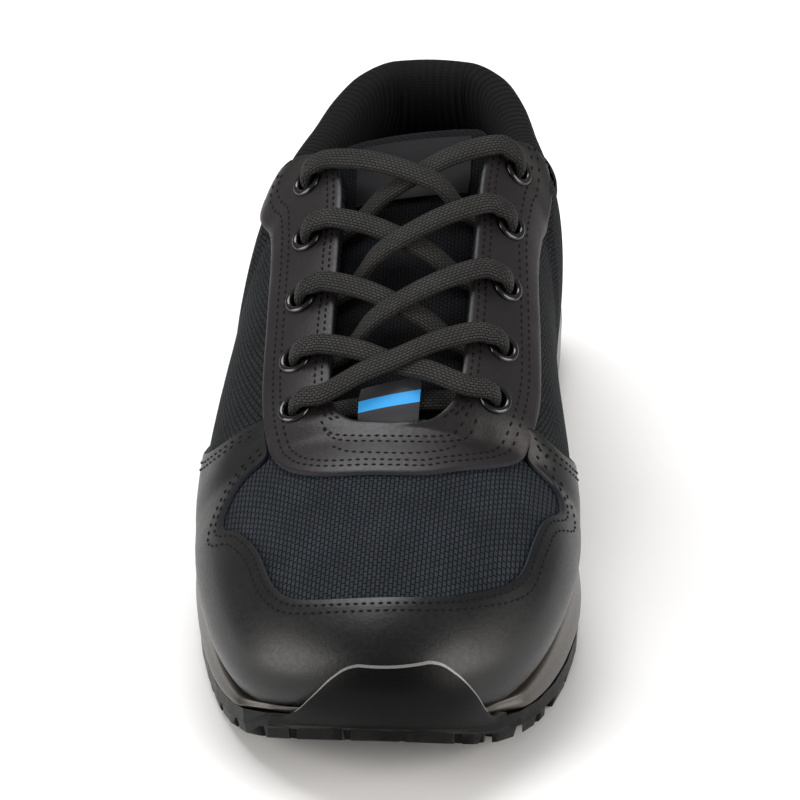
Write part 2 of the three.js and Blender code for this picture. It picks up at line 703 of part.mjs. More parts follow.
// Toe cap: leather round the toe and along the foot of both sides, open for the textile vamp. The
// window's edge is given point by point round the vamp.
const VAMP_WINDOW = table(
  ["across", "along"],
  [-0.285, 0.733],
  [-0.348, 0.747],
  [-0.385, 0.787],
  [-0.33, 0.812],
  [-0.272, 0.85],
  [-0.225, 0.893],
  [-0.15, 0.922],
  [0.016, 0.935],
  [0.16, 0.926],
  [0.28, 0.897],
  [0.37, 0.86],
  [0.4, 0.815],
  [0.425, 0.77],
  [0.482, 0.724],
  [0.448, 0.701],
  [0.378, 0.704],
);
// Upper edge of the leather along the sides, and of the counter round the heel
const SIDE_EDGE = table(
  ["along", "height"],
  [0.693, 0.6],
  [0.676, 0.5],
  [0.64, 0.42],
  [0.56, 0.352],
  [0.45, 0.325],
  [0.33, 0.317],
  [0.262, 0.282],
);
const COUNTER_EDGE = table(
  ["along", "height"],
  [0.248, 0.27],
  [0.21, 0.38],
  [0.16, 0.55],
  [0.1, 0.64],
  [0.03, 0.66],
);
const FLOOR = -20;
const BEYOND = 20;
function sideOutline(rows, end) {
  const top = rows.map((row) => new THREE.Vector2(alongToY(row.along), row.height * INSTEP_HEIGHT));
  const edge = curveThrough(top);
  const first = edge[0];
  const last = edge[edge.length - 1];
  return [
    new THREE.Vector2(end, FLOOR),
    new THREE.Vector2(end, end < 0 ? first.y : last.y),
    ...(end < 0 ? edge : edge.reverse()),
    new THREE.Vector2(end < 0 ? last.x : first.x, FLOOR),
  ];
}
const windowPoints = VAMP_WINDOW.map(
  (row) => new THREE.Vector2(row.across * BALL_WIDTH, alongToY(row.along)),
);
const capBack = alongToY(SIDE_EDGE[0].along);
const capFront = -LENGTH / 2 - BEYOND;
const capPlan = planCutter([
  new THREE.Vector2(-BALL_WIDTH, capBack),
  new THREE.Vector2(-BALL_WIDTH, capFront),
  new THREE.Vector2(BALL_WIDTH, capFront),
  new THREE.Vector2(BALL_WIDTH, capBack),
]);
const toeCap = overlayLayer
  .intersect(capPlan.add(sideCutter(sideOutline(SIDE_EDGE, capFront))))
  .subtract(planCutter(curveThrough(windowPoints)))
  .subtract(planCutter(eyestayOutline(CLEARANCE)));
place("toe_cap", toeCap, "leather");
const heelCounter = overlayLayer.intersect(sideCutter(sideOutline(COUNTER_EDGE, LENGTH / 2 + BEYOND)));
place("heel_counter", heelCounter, "leather");

// Collar pad: a soft cuff that folds over the collar edge and lines the inside of the heel
const PAD_SECTION = table(
  ["out", "up"],
  [PAD_ROLL, -PAD_LIP],
  [PAD_ROLL, 0.5],
  [PAD_ROLL / 2, PAD_ROLL],
  [-PAD_THICKNESS / 2, PAD_ROLL + 0.8],
  [-PAD_THICKNESS - 0.5, PAD_ROLL / 2],
  [-PAD_THICKNESS - UPPER_WALL, -PAD_DEPTH / 4],
  [-PAD_THICKNESS - UPPER_WALL, -PAD_DEPTH / 2],
  [-PAD_THICKNESS / 2 - UPPER_WALL, -0.85 * PAD_DEPTH],
  [-UPPER_WALL - 4 * CLEARANCE, -PAD_DEPTH],
  [-UPPER_WALL - 4 * CLEARANCE, -PAD_DEPTH / 2],
  [-UPPER_WALL - 2 * CLEARANCE, 2 * CLEARANCE],
  [2 * CLEARANCE, 2 * CLEARANCE],
  [2 * CLEARANCE, -PAD_LIP],
);
const PAD_END = 0.471;
function collarPad() {
  const half = sideStations.filter((s) => s < PAD_END);
  const stations = [...half.slice(1).reverse().map((s) => -s), ...half];
  const rings = stations.map((u) =>
    PAD_SECTION.map(({ out, up }) => {
      if (up < 0) return onLast(u, belowTop(u, -up), out);
      const edge = onLast(u, 1, out);
      const rise = lastPoint(u, 1).sub(lastPoint(u, POLE)).normalize();
      return edge.addScaledVector(rise, up);
    }),
  );
  return ringSolid(rings.reverse(), acrossStrip);
}
const padRoom = lastLayer(-UPPER_WALL - CLEARANCE, CLEARANCE, 0);
place("collar_pad", collarPad().subtract(padRoom), "lining");

// Tongue: bridges the throat under its edges, so it is laid out by station, by distance across and
// by height over the last. Past the top of the throat it runs on in the same direction.
function bridgeNormal(station, share) {
  return lastNormal(station, 1).lerp(lastNormal(-station, 1), share).normalize();
}
const ARCH = 0.1;
function tonguePoint(station, beyond, across, height) {
  const lateral = lastPoint(station, 1);
  const medial = lastPoint(-station, 1);
  const half = lateral.distanceTo(medial) / 2;
  const excess = Math.abs(across) - half;
  const middle = (at) => lastPoint(at, 1).lerp(lastPoint(-at, 1), 0.5);
  const onwards = middle(station).sub(middle(station + NUDGE)).normalize();
  if (excess > 0) {
    const u = across < 0 ? station : -station;
    return onLast(u, belowTop(u, excess), height).addScaledVector(onwards, beyond);
  }
  const share = half > 0 ? (across / half + 1) / 2 : 0.5;
  const normal = bridgeNormal(station, share);
  const arch = ARCH * half * 4 * share * (1 - share);
  const bridge = lateral.lerp(medial, share).addScaledVector(normal, height + arch);
  return bridge.addScaledVector(onwards, beyond);
}

// Stations that the tag and the tongue under it share
const TAG_FOOT = 0.674;
const TAG_BEND = 0.668;
const TAG_RISE = 0.6615;
const TAG_OVER_BAR = 0.6535;
const TAG_TIP = 0.639;

// The tongue from its front end under the vamp to its top. Beyond is a share of the length, half a
// share of the ball width, body a share of the thickness, and sink the gap under the upper.
const UNDER_LACE = LACE_THICKNESS + 4 * CLEARANCE;
const LACE_BELOW = -UPPER_WALL - 2 * CLEARANCE - LACE_THICKNESS / 2;
const TONGUE = table(
  ["station", "beyond", "half", "body", "sink"],
  [0.72, 0.0, 0.19, 0.6, 5 * CLEARANCE],
  [0.7, 0.0, 0.2, 0.65, 6 * CLEARANCE],
  [THROAT_END, 0.0, 0.215, 0.75, TAG_THICKNESS + 4 * CLEARANCE],
  [TAG_FOOT, 0.0, 0.225, 0.8, TAG_THICKNESS + 5 * CLEARANCE],
  [TAG_BEND, 0.0, 0.23, 0.85, TAG_THICKNESS + 8 * CLEARANCE],
  [TAG_RISE, 0.0, 0.234, 0.9, UNDER_LACE],
  [TAG_OVER_BAR, 0.0, 0.237, 0.95, UNDER_LACE],
  [TAG_TIP, 0.0, 0.24, 1.0, UNDER_LACE],
  [0.61, 0.0, 0.245, 1.0, UNDER_LACE],
  [0.57, 0.0, 0.25, 1.0, UNDER_LACE],
  [0.535, 0.0, 0.255, 1.0, UNDER_LACE],
  [0.512, 0.0, 0.255, 1.0, UNDER_LACE],
  [0.512, 0.025, 0.25, 1.1, 0.8 * UNDER_LACE],
  [0.512, 0.04, 0.232, 0.95, 0.85 * UNDER_LACE],
  [0.512, 0.048, 0.205, 0.5, UNDER_LACE],
);
const TONGUE_STEPS = [-1, -0.82, -0.55, -0.25, 0, 0.25, 0.55, 0.82, 1];
function tongue() {
  const rings = TONGUE.map(({ station, beyond, half, body, sink }) => {
    const at = (step, height) => tonguePoint(station, beyond * LENGTH, step * half * BALL_WIDTH, height);
    const top = -UPPER_WALL - sink;
    const upperSide = TONGUE_STEPS.map((step) => at(step, top));
    const lowerSide = TONGUE_STEPS.map((step) => {
      const thick = Math.abs(step) === 1 ? TONGUE_EDGE : TONGUE_THICKNESS * body;
      return at(step, top - thick);
    });
    return [...upperSide, ...lowerSide.reverse()];
  });
  return ringSolid(rings, acrossStrip);
}
place("tongue", tongue(), "textile");

// A sheet over the tongue, between two distances across, along rows of station, beyond and height
function sheetOnTongue(rows, centre, width, thickness) {
  const steps = [-0.5, -0.25, 0, 0.25, 0.5];
  const rings = rows.map(({ station, beyond, height }) => {
    const at = (step, level) => tonguePoint(station, beyond * LENGTH, centre + step * width, level);
    const upperSide = steps.map((step) => at(step, height + thickness));
    const lowerSide = steps.map((step) => at(step, height));
    return [...upperSide, ...lowerSide.reverse()];
  });
  return ringSolid(rings, acrossStrip);
}
const labelHeight = -UPPER_WALL - UNDER_LACE + 1.5 * CLEARANCE;
const LABEL = table(
  ["station", "beyond", "height"],
  [0.53, 0.0, labelHeight],
  [0.512, 0.0, labelHeight],
  [0.512, 0.025, labelHeight + 0.2 * UNDER_LACE],
  [0.512, 0.032, labelHeight + 0.18 * UNDER_LACE],
);
place("tongue_label", sheetOnTongue(LABEL, 0, LABEL_WIDTH, LABEL_THICKNESS), "label");
const underEdge = -UPPER_WALL - 3 * CLEARANCE - TAG_THICKNESS;
const overBar = LACE_BELOW + LACE_THICKNESS / 2 + CLEARANCE;
const TAG = table(
  ["station", "beyond", "height"],
  [TAG_FOOT, 0.0, underEdge],
  [TAG_BEND, 0.0, underEdge],
  [TAG_RISE, 0.0, underEdge],
  [TAG_OVER_BAR, 0.0, overBar],
  [TAG_TIP, 0.0, overBar + CLEARANCE],
);
place("throat_tag", sheetOnTongue(TAG, -1.5, TAG_WIDTH, TAG_THICKNESS), "label");

// Eyelets: a rolled ring on the leather with a short barrel through the wall
const BARREL_LENGTH = OVERLAY_THICKNESS + UPPER_WALL + 2 * CLEARANCE;
function eyeletRing() {
  const profile = table(
    ["radius", "height"],
    [EYELET_BORE, -BARREL_LENGTH],
    [EYELET_BARREL, -BARREL_LENGTH],
    [EYELET_BARREL, CLEARANCE],
    [EYELET_FLANGE, CLEARANCE],
    [EYELET_BARREL + 0.6, EYELET_PROUD],
    [EYELET_BORE, EYELET_PROUD - 0.4],
    [EYELET_BORE, -BARREL_LENGTH],
  ).map((row) => new THREE.Vector2(row.radius, row.height));
  return new THREE.LatheGeometry(profile, EYELET_SIDES);
}
for (const eyelet of eyelets) {
  const name = `eyelet_${eyelet.side > 0 ? "lateral" : "medial"}_${eyelet.pair + 1}`;
  place(name, fromGeometry(alongNormal(eyeletRing(), eyelet)), "enamel");
}

// Laces: a flat strand is a rounded section carried along a curve that starts and ends at eyelets.
const LACE_ABOVE = CLEARANCE + OVERLAY_THICKNESS + EYELET_PROUD + 3 * CLEARANCE + LACE_THICKNESS / 2;
const LACE_SECTION = table(
  ["across", "up"],
  [0.5, 0.0],
  [0.36, 0.5],
  [-0.36, 0.5],
  [-0.5, 0.0],
  [-0.36, -0.5],
  [0.36, -0.5],
);
const STRAND_STEPS = 8;
function overStay({ pair, side }, fromEdge, height) {
  const station = eyeletStation(pair);
  return onLast(side * station, belowTop(side * station, fromEdge), height);
}
function overThroat(from, to, share, height) {
  const station = THREE.MathUtils.lerp(eyeletStation(from.pair), eyeletStation(to.pair), share);
  const half = lastPoint(station, 1).distanceTo(lastPoint(-station, 1)) / 2;
  const across = THREE.MathUtils.lerp(-from.side, -to.side, share) * half;
  return tonguePoint(station, 0, across, height);
}
function strand(points, up) {
  const curve = new THREE.CatmullRomCurve3(points, false, "centripetal");
  const rings = [];
  for (let k = 0; k <= STRAND_STEPS; k++) {
    const middle = curve.getPointAt(k / STRAND_STEPS);
    const ahead = curve.getTangentAt(k / STRAND_STEPS);
    const over = up(k / STRAND_STEPS);
    const beside = ahead.clone().cross(over).normalize();
    const above = beside.clone().cross(ahead).normalize();
    rings.push(
      LACE_SECTION.map((row) => {
        const point = middle.clone().addScaledVector(beside, row.across * LACE_WIDTH);
        return point.addScaledVector(above, row.up * LACE_THICKNESS);
      }),
    );
  }
  return ringSolid(rings.reverse(), acrossStrip);
}
function strandBetween(from, to, startsBelow, lift) {
  const start = startsBelow
    ? [overStay(from, LACE_UNDER_EDGE, LACE_BELOW), overThroat(from, to, 0.09, LACE_BELOW + 0.1)]
    : [overStay(from, EYELET_FROM_EDGE, LACE_ABOVE), overStay(from, LACE_OVER_EDGE, LACE_ABOVE)];
  const first = startsBelow ? LACE_BELOW + 3 + lift : LACE_ABOVE - 1 + lift;
  const middle = [overThroat(from, to, 0.32, first), overThroat(from, to, 0.5, LACE_CROSSING + lift)];
  const end = [
    overThroat(from, to, 0.78, LACE_CROSSING + 1.8 + lift / 2),
    overStay(to, LACE_OVER_EDGE, LACE_ABOVE),
    overStay(to, EYELET_FROM_EDGE, LACE_ABOVE),
  ];
  const normalAt = (eyelet) => lastNormal(eyelet.side * eyeletStation(eyelet.pair), 1);
  return strand([...start, ...middle, ...end], (share) => normalAt(from).lerp(normalAt(to), share));
}
const over = LACE_THICKNESS - LACE_OVERLAP;
// The strand from the outer side lies on top, apart from the last crossing
for (let k = 0; k + 1 < EYELET_PAIRS; k++) {
  const startsBelow = k > 0;
  const [lateralLift, medialLift] = k + 2 < EYELET_PAIRS ? [over, 0] : [0, over];
  const lateral = { pair: k, side: 1 };
  const medial = { pair: k, side: -1 };
  const toMedial = strandBetween(lateral, { pair: k + 1, side: -1 }, startsBelow, lateralLift);
  const toLateral = strandBetween(medial, { pair: k + 1, side: 1 }, startsBelow, medialLift);
  place(`lace_crossing_${k + 1}`, toMedial.add(toLateral), "lace");
}
function laceBar() {
  const from = { pair: 0, side: 1 };
  const to = { pair: 0, side: -1 };
  const across = [0.06, 0.35, 0.65, 0.94].map((share) => overThroat(from, to, share, LACE_BELOW));
  const ends = [from, to].map((eyelet) => overStay(eyelet, BAR_UNDER_EDGE, LACE_BELOW));
  const points = [ends[0], ...across, ends[1]];
  return strand(points, (share) => bridgeNormal(eyeletStation(0), share));
}
place("lace_bar", laceBar(), "lace");

export default shoe;
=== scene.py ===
# %% [markdown]
# # A black lace-up work shoe
# The CAD frame holds every piece of this shoe at its real size. This lesson gives each piece its
# surface: smooth leather, mesh textile, rubber, foam, enamel and braid. Large shapes are laid on the
# same last that the CAD pieces were made on, because a shoemaker also pulls every layer over one last.

import math

import bmesh
import bpy
import numpy as np
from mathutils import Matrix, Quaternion, Vector
from mathutils.bvhtree import BVHTree
from mathutils.kdtree import KDTree


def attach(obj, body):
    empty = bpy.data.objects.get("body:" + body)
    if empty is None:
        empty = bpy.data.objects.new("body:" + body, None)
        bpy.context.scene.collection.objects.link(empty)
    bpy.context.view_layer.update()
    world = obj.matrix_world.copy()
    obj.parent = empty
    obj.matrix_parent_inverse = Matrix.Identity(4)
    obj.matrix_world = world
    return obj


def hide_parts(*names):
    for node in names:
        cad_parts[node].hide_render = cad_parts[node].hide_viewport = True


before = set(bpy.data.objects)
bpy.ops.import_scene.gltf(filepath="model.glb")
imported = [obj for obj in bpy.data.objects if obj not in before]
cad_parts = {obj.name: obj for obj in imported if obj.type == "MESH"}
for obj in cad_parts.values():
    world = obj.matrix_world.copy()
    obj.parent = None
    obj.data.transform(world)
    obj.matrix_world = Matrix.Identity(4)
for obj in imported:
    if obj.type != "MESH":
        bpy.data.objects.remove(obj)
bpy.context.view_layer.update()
MM = 0.001
print("nodes", sorted(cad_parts))

# %% [markdown]
# ## The camera
# A product photographer stands well back with a long lens, so the shoe keeps its proportions. Here the
# lens looks at the toe from a little above and slightly from the inner side, as in the photo, and it
# is rolled a little. There the shoe stands low and left in a wide picture. Here it fills the frame.

# %% Camera
ELEVATION = math.radians(27.34)
AZIMUTH = math.radians(5.13)
ROLL = math.radians(-0.9)
DISTANCE = 1.406
FOCAL_PIXELS = 4700.0
PICTURE = 800
AIM = Vector((0.0, 0.0, 48.0)) * MM

lens = bpy.data.cameras.new("camera")
camera = bpy.data.objects.new("camera", lens)
bpy.context.collection.objects.link(camera)
bpy.context.scene.camera = camera
lens.sensor_width = 36.0
lens.lens = FOCAL_PIXELS / PICTURE * lens.sensor_width
back = Vector(
    (
        math.sin(AZIMUTH) * math.cos(ELEVATION),
        -math.cos(AZIMUTH) * math.cos(ELEVATION),
        math.sin(ELEVATION),
    )
)
camera.location = AIM + back * DISTANCE
camera.rotation_mode = "QUATERNION"
camera.rotation_quaternion = (-back).to_track_quat("-Z", "Y") @ Quaternion((0, 0, 1), ROLL)
print("camera", tuple(round(v, 3) for v in camera.location), "lens", round(lens.lens, 1))

# %% [markdown]
# ## Small helpers
# A piece starts as a primitive that an operator adds. Everything is deselected first, since operators
# act on all that is selected. One function turns a colour from a swatch book into light, and one adds
# a shader node with its settings and links.


# %% Helpers for pieces
def start_clean():
    """Leaves edit mode and deselects every object."""
    if bpy.context.object and bpy.context.object.mode != "OBJECT":
        bpy.ops.object.mode_set(mode="OBJECT")
    bpy.ops.object.select_all(action="DESELECT")


def work_on(piece):
    """Selects one piece and makes it the active one."""
    start_clean()
    piece.select_set(True)
    bpy.context.view_layer.objects.active = piece


def new_grid(name, across, up):
    """Adds a flat grid and gives back the piece with each corner's share across and up."""
    start_clean()
    bpy.ops.mesh.primitive_grid_add(x_subdivisions=across, y_subdivisions=up, size=2.0)
    piece = bpy.context.object
    piece.name = name
    flat = corners(piece)
    column = np.round((flat[:, 0] + 1) / 2 * across)
    row = np.round((flat[:, 1] + 1) / 2 * up)
    return piece, column / across, row / up


def corners(piece):
    """The piece's vertices as rows of numbers."""
    flat = np.empty(len(piece.data.vertices) * 3)
    piece.data.vertices.foreach_get("co", flat)
    return flat.reshape(-1, 3)


def lay(piece, places):
    """Moves the vertices of a piece to new places."""
    piece.data.vertices.foreach_set("co", np.asarray(places, float).ravel())
    piece.data.update()


def face_middles(piece):
    """The middle of each face, as rows of numbers."""
    flat = np.empty(len(piece.data.polygons) * 3)
    piece.data.polygons.foreach_get("center", flat)
    return flat.reshape(-1, 3)


def loop_corners(piece):
    """The vertex that each corner of each face stands on."""
    loops = np.empty(len(piece.data.loops), int)
    piece.data.loops.foreach_get("vertex_index", loops)
    return loops


def finish_modifier(piece, kind, **settings):
    """Adds a modifier and applies it."""
    work_on(piece)
    modifier = piece.modifiers.new(kind.lower(), kind)
    for name, value in settings.items():
        setattr(modifier, name, value)
    bpy.ops.object.modifier_apply(modifier=modifier.name)


def edit_all(piece, operator, **settings):
    """Runs one mesh operator on the whole of a piece."""
    work_on(piece)
    bpy.ops.object.mode_set(mode="EDIT")
    bpy.ops.mesh.select_all(action="SELECT")
    operator(**settings)
    bpy.ops.object.mode_set(mode="OBJECT")


def weld(piece, distance=1e-5):
    """Merges vertices that lie on each other and turns the faces outwards."""
    edit_all(piece, bpy.ops.mesh.remove_doubles, threshold=distance)
    edit_all(piece, bpy.ops.mesh.dissolve_degenerate, threshold=distance)
    edit_all(piece, bpy.ops.mesh.normals_make_consistent, inside=False)


def smooth(piece, degrees):
    """Shades a piece smooth, but for edges that are sharper than an angle."""
    work_on(piece)
    bpy.ops.object.shade_smooth_by_angle(angle=math.radians(degrees))


def add_slots(piece, count):
    """Adds empty material slots until a piece has enough of them."""
    while len(piece.data.materials) < count:
        piece.data.materials.append(None)


def settle(piece, material, slot, *nodes):
    """Gives a finished piece its material, lets it ride, and lets it stand for CAD nodes. Its slot is not
    used.
    """
    wanted = material if isinstance(material, (list, tuple)) else [material]
    add_slots(piece, len(wanted))
    for k, one in enumerate(wanted):
        piece.data.materials[k] = one
    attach(piece, "root")
    if nodes:
        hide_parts(*nodes)
    print(piece.name, len(piece.data.polygons), "faces")
    return piece


# %% Helpers for finishes
def swatch(code):
    """An sRGB hex colour as linear light."""
    parts = [int(code[k : k + 2], 16) / 255 for k in (1, 3, 5)]
    light = [p / 12.92 if p <= 0.04045 else ((p + 0.055) / 1.055) ** 2.4 for p in parts]
    return (*light, 1.0)


def node(tree, kind, links=None, **settings):
    """Adds one shader node. links holds a value or another node's output for each input."""
    made = tree.nodes.new(kind)
    for name, value in settings.items():
        setattr(made, name, value)
    for socket, value in (links or {}).items():
        if isinstance(value, bpy.types.NodeSocket):
            tree.links.new(value, made.inputs[socket])
        else:
            made.inputs[socket].default_value = value
    return made


def new_finish(name, roughness, specular=0.5, **shader):
    """A material with one Principled shader, ready for its pattern."""
    finish = bpy.data.materials.new(name)
    finish.use_nodes = True
    tree = finish.node_tree
    tree.nodes.clear()
    gloss = {"Roughness": roughness, "Specular IOR Level": specular}
    surface = node(tree, "ShaderNodeBsdfPrincipled", gloss)
    for socket, value in shader.items():
        surface.inputs[socket.replace("_", " ")].default_value = value
    out = node(tree, "ShaderNodeOutputMaterial")
    tree.links.new(surface.outputs["BSDF"], out.inputs["Surface"])
    return finish, tree, surface


# %% [markdown]
# ## The last
# A last is the foot-shaped block that an upper is pulled over. It is described by ribs: each rib
# starts at the feather line, where upper and sole meet, and rises to the collar, the throat or the
# ridge over the toes. Short tables hold the ribs as shares of the shoe's main sizes, and a smooth
# curve runs between the rows. Any layer of the shoe can then be laid on the last at its own height.

# %% Main sizes in millimetres
LENGTH = 300.0
BALL_WIDTH = 112.0
COLLAR_HEIGHT = 95.5
INSTEP_HEIGHT = 118.0
TOE_HEIGHT = 62.0
TOE_SPRING = 20.4
HEEL_STACK = 36.0
CLEARANCE = 0.3
UPPER_WALL = 2.2
LEATHER = 1.3
UPPER_INSET = 4.2
OUTSOLE_EDGE = 8.0
TO_FRAME = np.array((-0.25, 0.87, 0.0))


def in_metres(places):
    """Moves points from the last's millimetres to the frame's metres."""
    return (np.asarray(places, float) + TO_FRAME) * MM


# %% Tables of the last
def table(columns, *rows):
    """Rows of numbers under named columns."""
    return [dict(zip(columns.split(), row)) for row in rows]


OUTLINE = table(
    "along outer inner outer_flare inner_flare",
    (0.0, -0.018, 0.018, 0.0, 0.0),
    (0.006, 0.138, 0.188, 0.0, 0.0),
    (0.03, 0.268, 0.299, 0.0, 0.0),
    (0.075, 0.357, 0.362, 0.0, 0.0),
    (0.15, 0.38, 0.375, 0.005, 0.006),
    (0.25, 0.377, 0.371, 0.018, 0.025),
    (0.34, 0.379, 0.326, 0.03, 0.072),
    (0.4, 0.391, 0.311, 0.032, 0.089),
    (0.46, 0.422, 0.346, 0.025, 0.07),
    (0.54, 0.48, 0.42, 0.008, 0.025),
    (0.62, 0.5, 0.479, 0.0, 0.006),
    (0.71, 0.482, 0.506, 0.0, 0.0),
    (0.8, 0.433, 0.477, 0.0, 0.0),
    (0.88, 0.362, 0.412, 0.0, 0.0),
    (0.94, 0.275, 0.33, 0.0, 0.0),
    (0.98, 0.14, 0.228, 0.0, 0.0),
    (1.0, -0.08, 0.08, 0.0, 0.0),
)
SOLE = table(
    "along lift stack",
    (0.0, 0.34, 0.861),
    (0.03, 0.17, 0.92),
    (0.07, 0.055, 0.972),
    (0.12, 0.0, 0.986),
    (0.33, 0.0, 0.917),
    (0.42, 0.055, 0.85),
    (0.5, 0.055, 0.822),
    (0.58, 0.0, 0.82),
    (0.7, 0.0, 0.755),
    (0.78, 0.0, 0.665),
    (0.84, 0.06, 0.515),
    (0.89, 0.205, 0.385),
    (0.94, 0.47, 0.295),
    (0.975, 0.75, 0.29),
    (1.0, 1.0, 0.3),
)
AXIS = table(
    "along shift",
    (0.0, 0.0),
    (0.3, 0.004),
    (0.45, 0.032),
    (0.7, 0.034),
    (0.85, 0.05),
    (1.0, 0.06),
)
RIBS = table(
    "station along across size height lean rise flare reach drop",
    (0.0, 0.037, 0.0, COLLAR_HEIGHT, 1.0, 0.0, 0.36, 0.05, 0.012, 0.35),
    (0.06, 0.041, 0.105, COLLAR_HEIGHT, 0.997, 0.0, 0.36, 0.05, 0.014, 0.35),
    (0.12, 0.063, 0.19, COLLAR_HEIGHT, 0.98, 0.0, 0.36, 0.05, 0.02, 0.35),
    (0.18, 0.112, 0.252, COLLAR_HEIGHT, 0.955, 0.0, 0.36, 0.05, 0.024, 0.35),
    (0.25, 0.178, 0.296, COLLAR_HEIGHT, 0.935, 0.0, 0.36, 0.052, 0.028, 0.35),
    (0.33, 0.255, 0.338, COLLAR_HEIGHT, 0.935, 0.005, 0.38, 0.055, 0.03, 0.33),
    (0.4, 0.325, 0.36, COLLAR_HEIGHT, 0.975, 0.012, 0.4, 0.06, 0.034, 0.3),
    (0.45, 0.378, 0.36, INSTEP_HEIGHT, 0.885, 0.018, 0.42, 0.065, 0.06, 0.22),
    (0.49, 0.405, 0.27, INSTEP_HEIGHT, 0.995, 0.024, 0.44, 0.07, 0.125, 0.1),
    (0.505, 0.422, 0.205, INSTEP_HEIGHT, 1.0, 0.026, 0.44, 0.072, 0.145, 0.075),
    (0.53, 0.468, 0.182, INSTEP_HEIGHT, 0.95, 0.026, 0.44, 0.074, 0.155, 0.065),
    (0.57, 0.548, 0.178, INSTEP_HEIGHT, 0.845, 0.024, 0.44, 0.078, 0.165, 0.065),
    (0.61, 0.628, 0.174, INSTEP_HEIGHT, 0.74, 0.022, 0.44, 0.085, 0.18, 0.07),
    (0.64, 0.678, 0.168, INSTEP_HEIGHT, 0.677, 0.02, 0.44, 0.092, 0.19, 0.07),
    (0.655, 0.702, 0.148, INSTEP_HEIGHT, 0.649, 0.016, 0.44, 0.096, 0.21, 0.06),
    (0.668, 0.717, 0.093, INSTEP_HEIGHT, 0.63, 0.008, 0.44, 0.1, 0.25, 0.045),
    (0.68, 0.722, 0.0, TOE_HEIGHT, 1.19, 0.0, 0.42, 0.11, 0.31, 0.02),
    (0.72, 0.755, 0.0, TOE_HEIGHT, 1.14, 0.0, 0.4, 0.135, 0.31, 0.02),
    (0.76, 0.785, 0.0, TOE_HEIGHT, 1.1, 0.0, 0.38, 0.15, 0.31, 0.03),
    (0.81, 0.817, 0.0, TOE_HEIGHT, 1.062, 0.0, 0.38, 0.155, 0.29, 0.06),
    (0.87, 0.842, 0.0, TOE_HEIGHT, 1.03, 0.0, 0.39, 0.14, 0.25, 0.13),
    (0.935, 0.856, 0.0, TOE_HEIGHT, 1.01, 0.0, 0.42, 0.1, 0.22, 0.19),
    (1.0, 0.86, 0.0, TOE_HEIGHT, 1.002, 0.0, 0.44, 0.075, 0.215, 0.22),
)
THROAT_END = 0.68


# %% Smooth curves through the tables
def through(rows, key, column):
    """A smooth curve through table rows that never swings past them."""
    x = np.array([row[key] for row in rows], float)
    y = np.array([row[column] for row in rows], float)
    span = np.diff(x)
    climb = np.diff(y) / span
    slope = np.concatenate(([climb[0]], np.zeros(len(x) - 2), [climb[-1]]))
    for k in range(1, len(x) - 1):
        if climb[k - 1] * climb[k] > 0:
            before, after = 2 * span[k] + span[k - 1], span[k] + 2 * span[k - 1]
            slope[k] = (before + after) / (before / climb[k - 1] + after / climb[k])

    def value_at(where):
        where = np.clip(where, x[0], x[-1])
        k = np.clip(np.searchsorted(x, where, side="right") - 1, 0, len(span) - 1)
        s = (where - x[k]) / span[k]
        ends = y[k] * (1 + 2 * s) * (1 - s) ** 2 + y[k + 1] * s * s * (3 - 2 * s)
        return ends + span[k] * s * (1 - s) * (slope[k] * (1 - s) - slope[k + 1] * s)

    return value_at


def smoothstep(low, high, value):
    """Eases from 0 below one value to 1 above another."""
    s = np.clip((value - low) / (high - low), 0, 1)
    return s * s * (3 - 2 * s)


def along_to_y(along):
    """The y of a share of the length, counted from the heel."""
    return (0.5 - along) * LENGTH


def unit(rows):
    """Rows of directions, each made one long."""
    return rows / np.linalg.norm(rows, axis=-1, keepdims=True)


def steps_walked(line):
    """The way walked from the first point of a line to each of its points."""
    return np.concatenate([[0], np.cumsum(np.linalg.norm(np.diff(line, axis=0), axis=1))])


def read_at(marks, walked, line):
    """The points of a line at marks along its way."""
    return np.stack([np.interp(marks, walked, column) for column in line.T], -1)


lift_at, stack_at = through(SOLE, "along", "lift"), through(SOLE, "along", "stack")
shift_at = through(AXIS, "along", "shift")


def underside(y):
    return lift_at(0.5 - y / LENGTH) * TOE_SPRING


def feather(y):
    return underside(y) + stack_at(0.5 - y / LENGTH) * HEEL_STACK


rib = {}
rows = [{**row, "top": row["size"] * row["height"], "tilt": row["size"] * row["lean"]} for row in RIBS]
for column in ("along", "across", "top", "tilt", "rise", "flare", "reach", "drop"):
    turn = -1 if column == "across" else 1
    before = {"station": -rows[1]["station"], column: turn * rows[1][column]}
    after = {"station": 2 - rows[-2]["station"], column: turn * rows[-2][column]}
    rib[column] = through([before, *rows, after], "station", column)
print("rib at the ball", {name: round(float(curve(0.6)), 3) for name, curve in rib.items()})


# %% The sole's outline, walked from the heel to the toe on either side
SAMPLES = 24


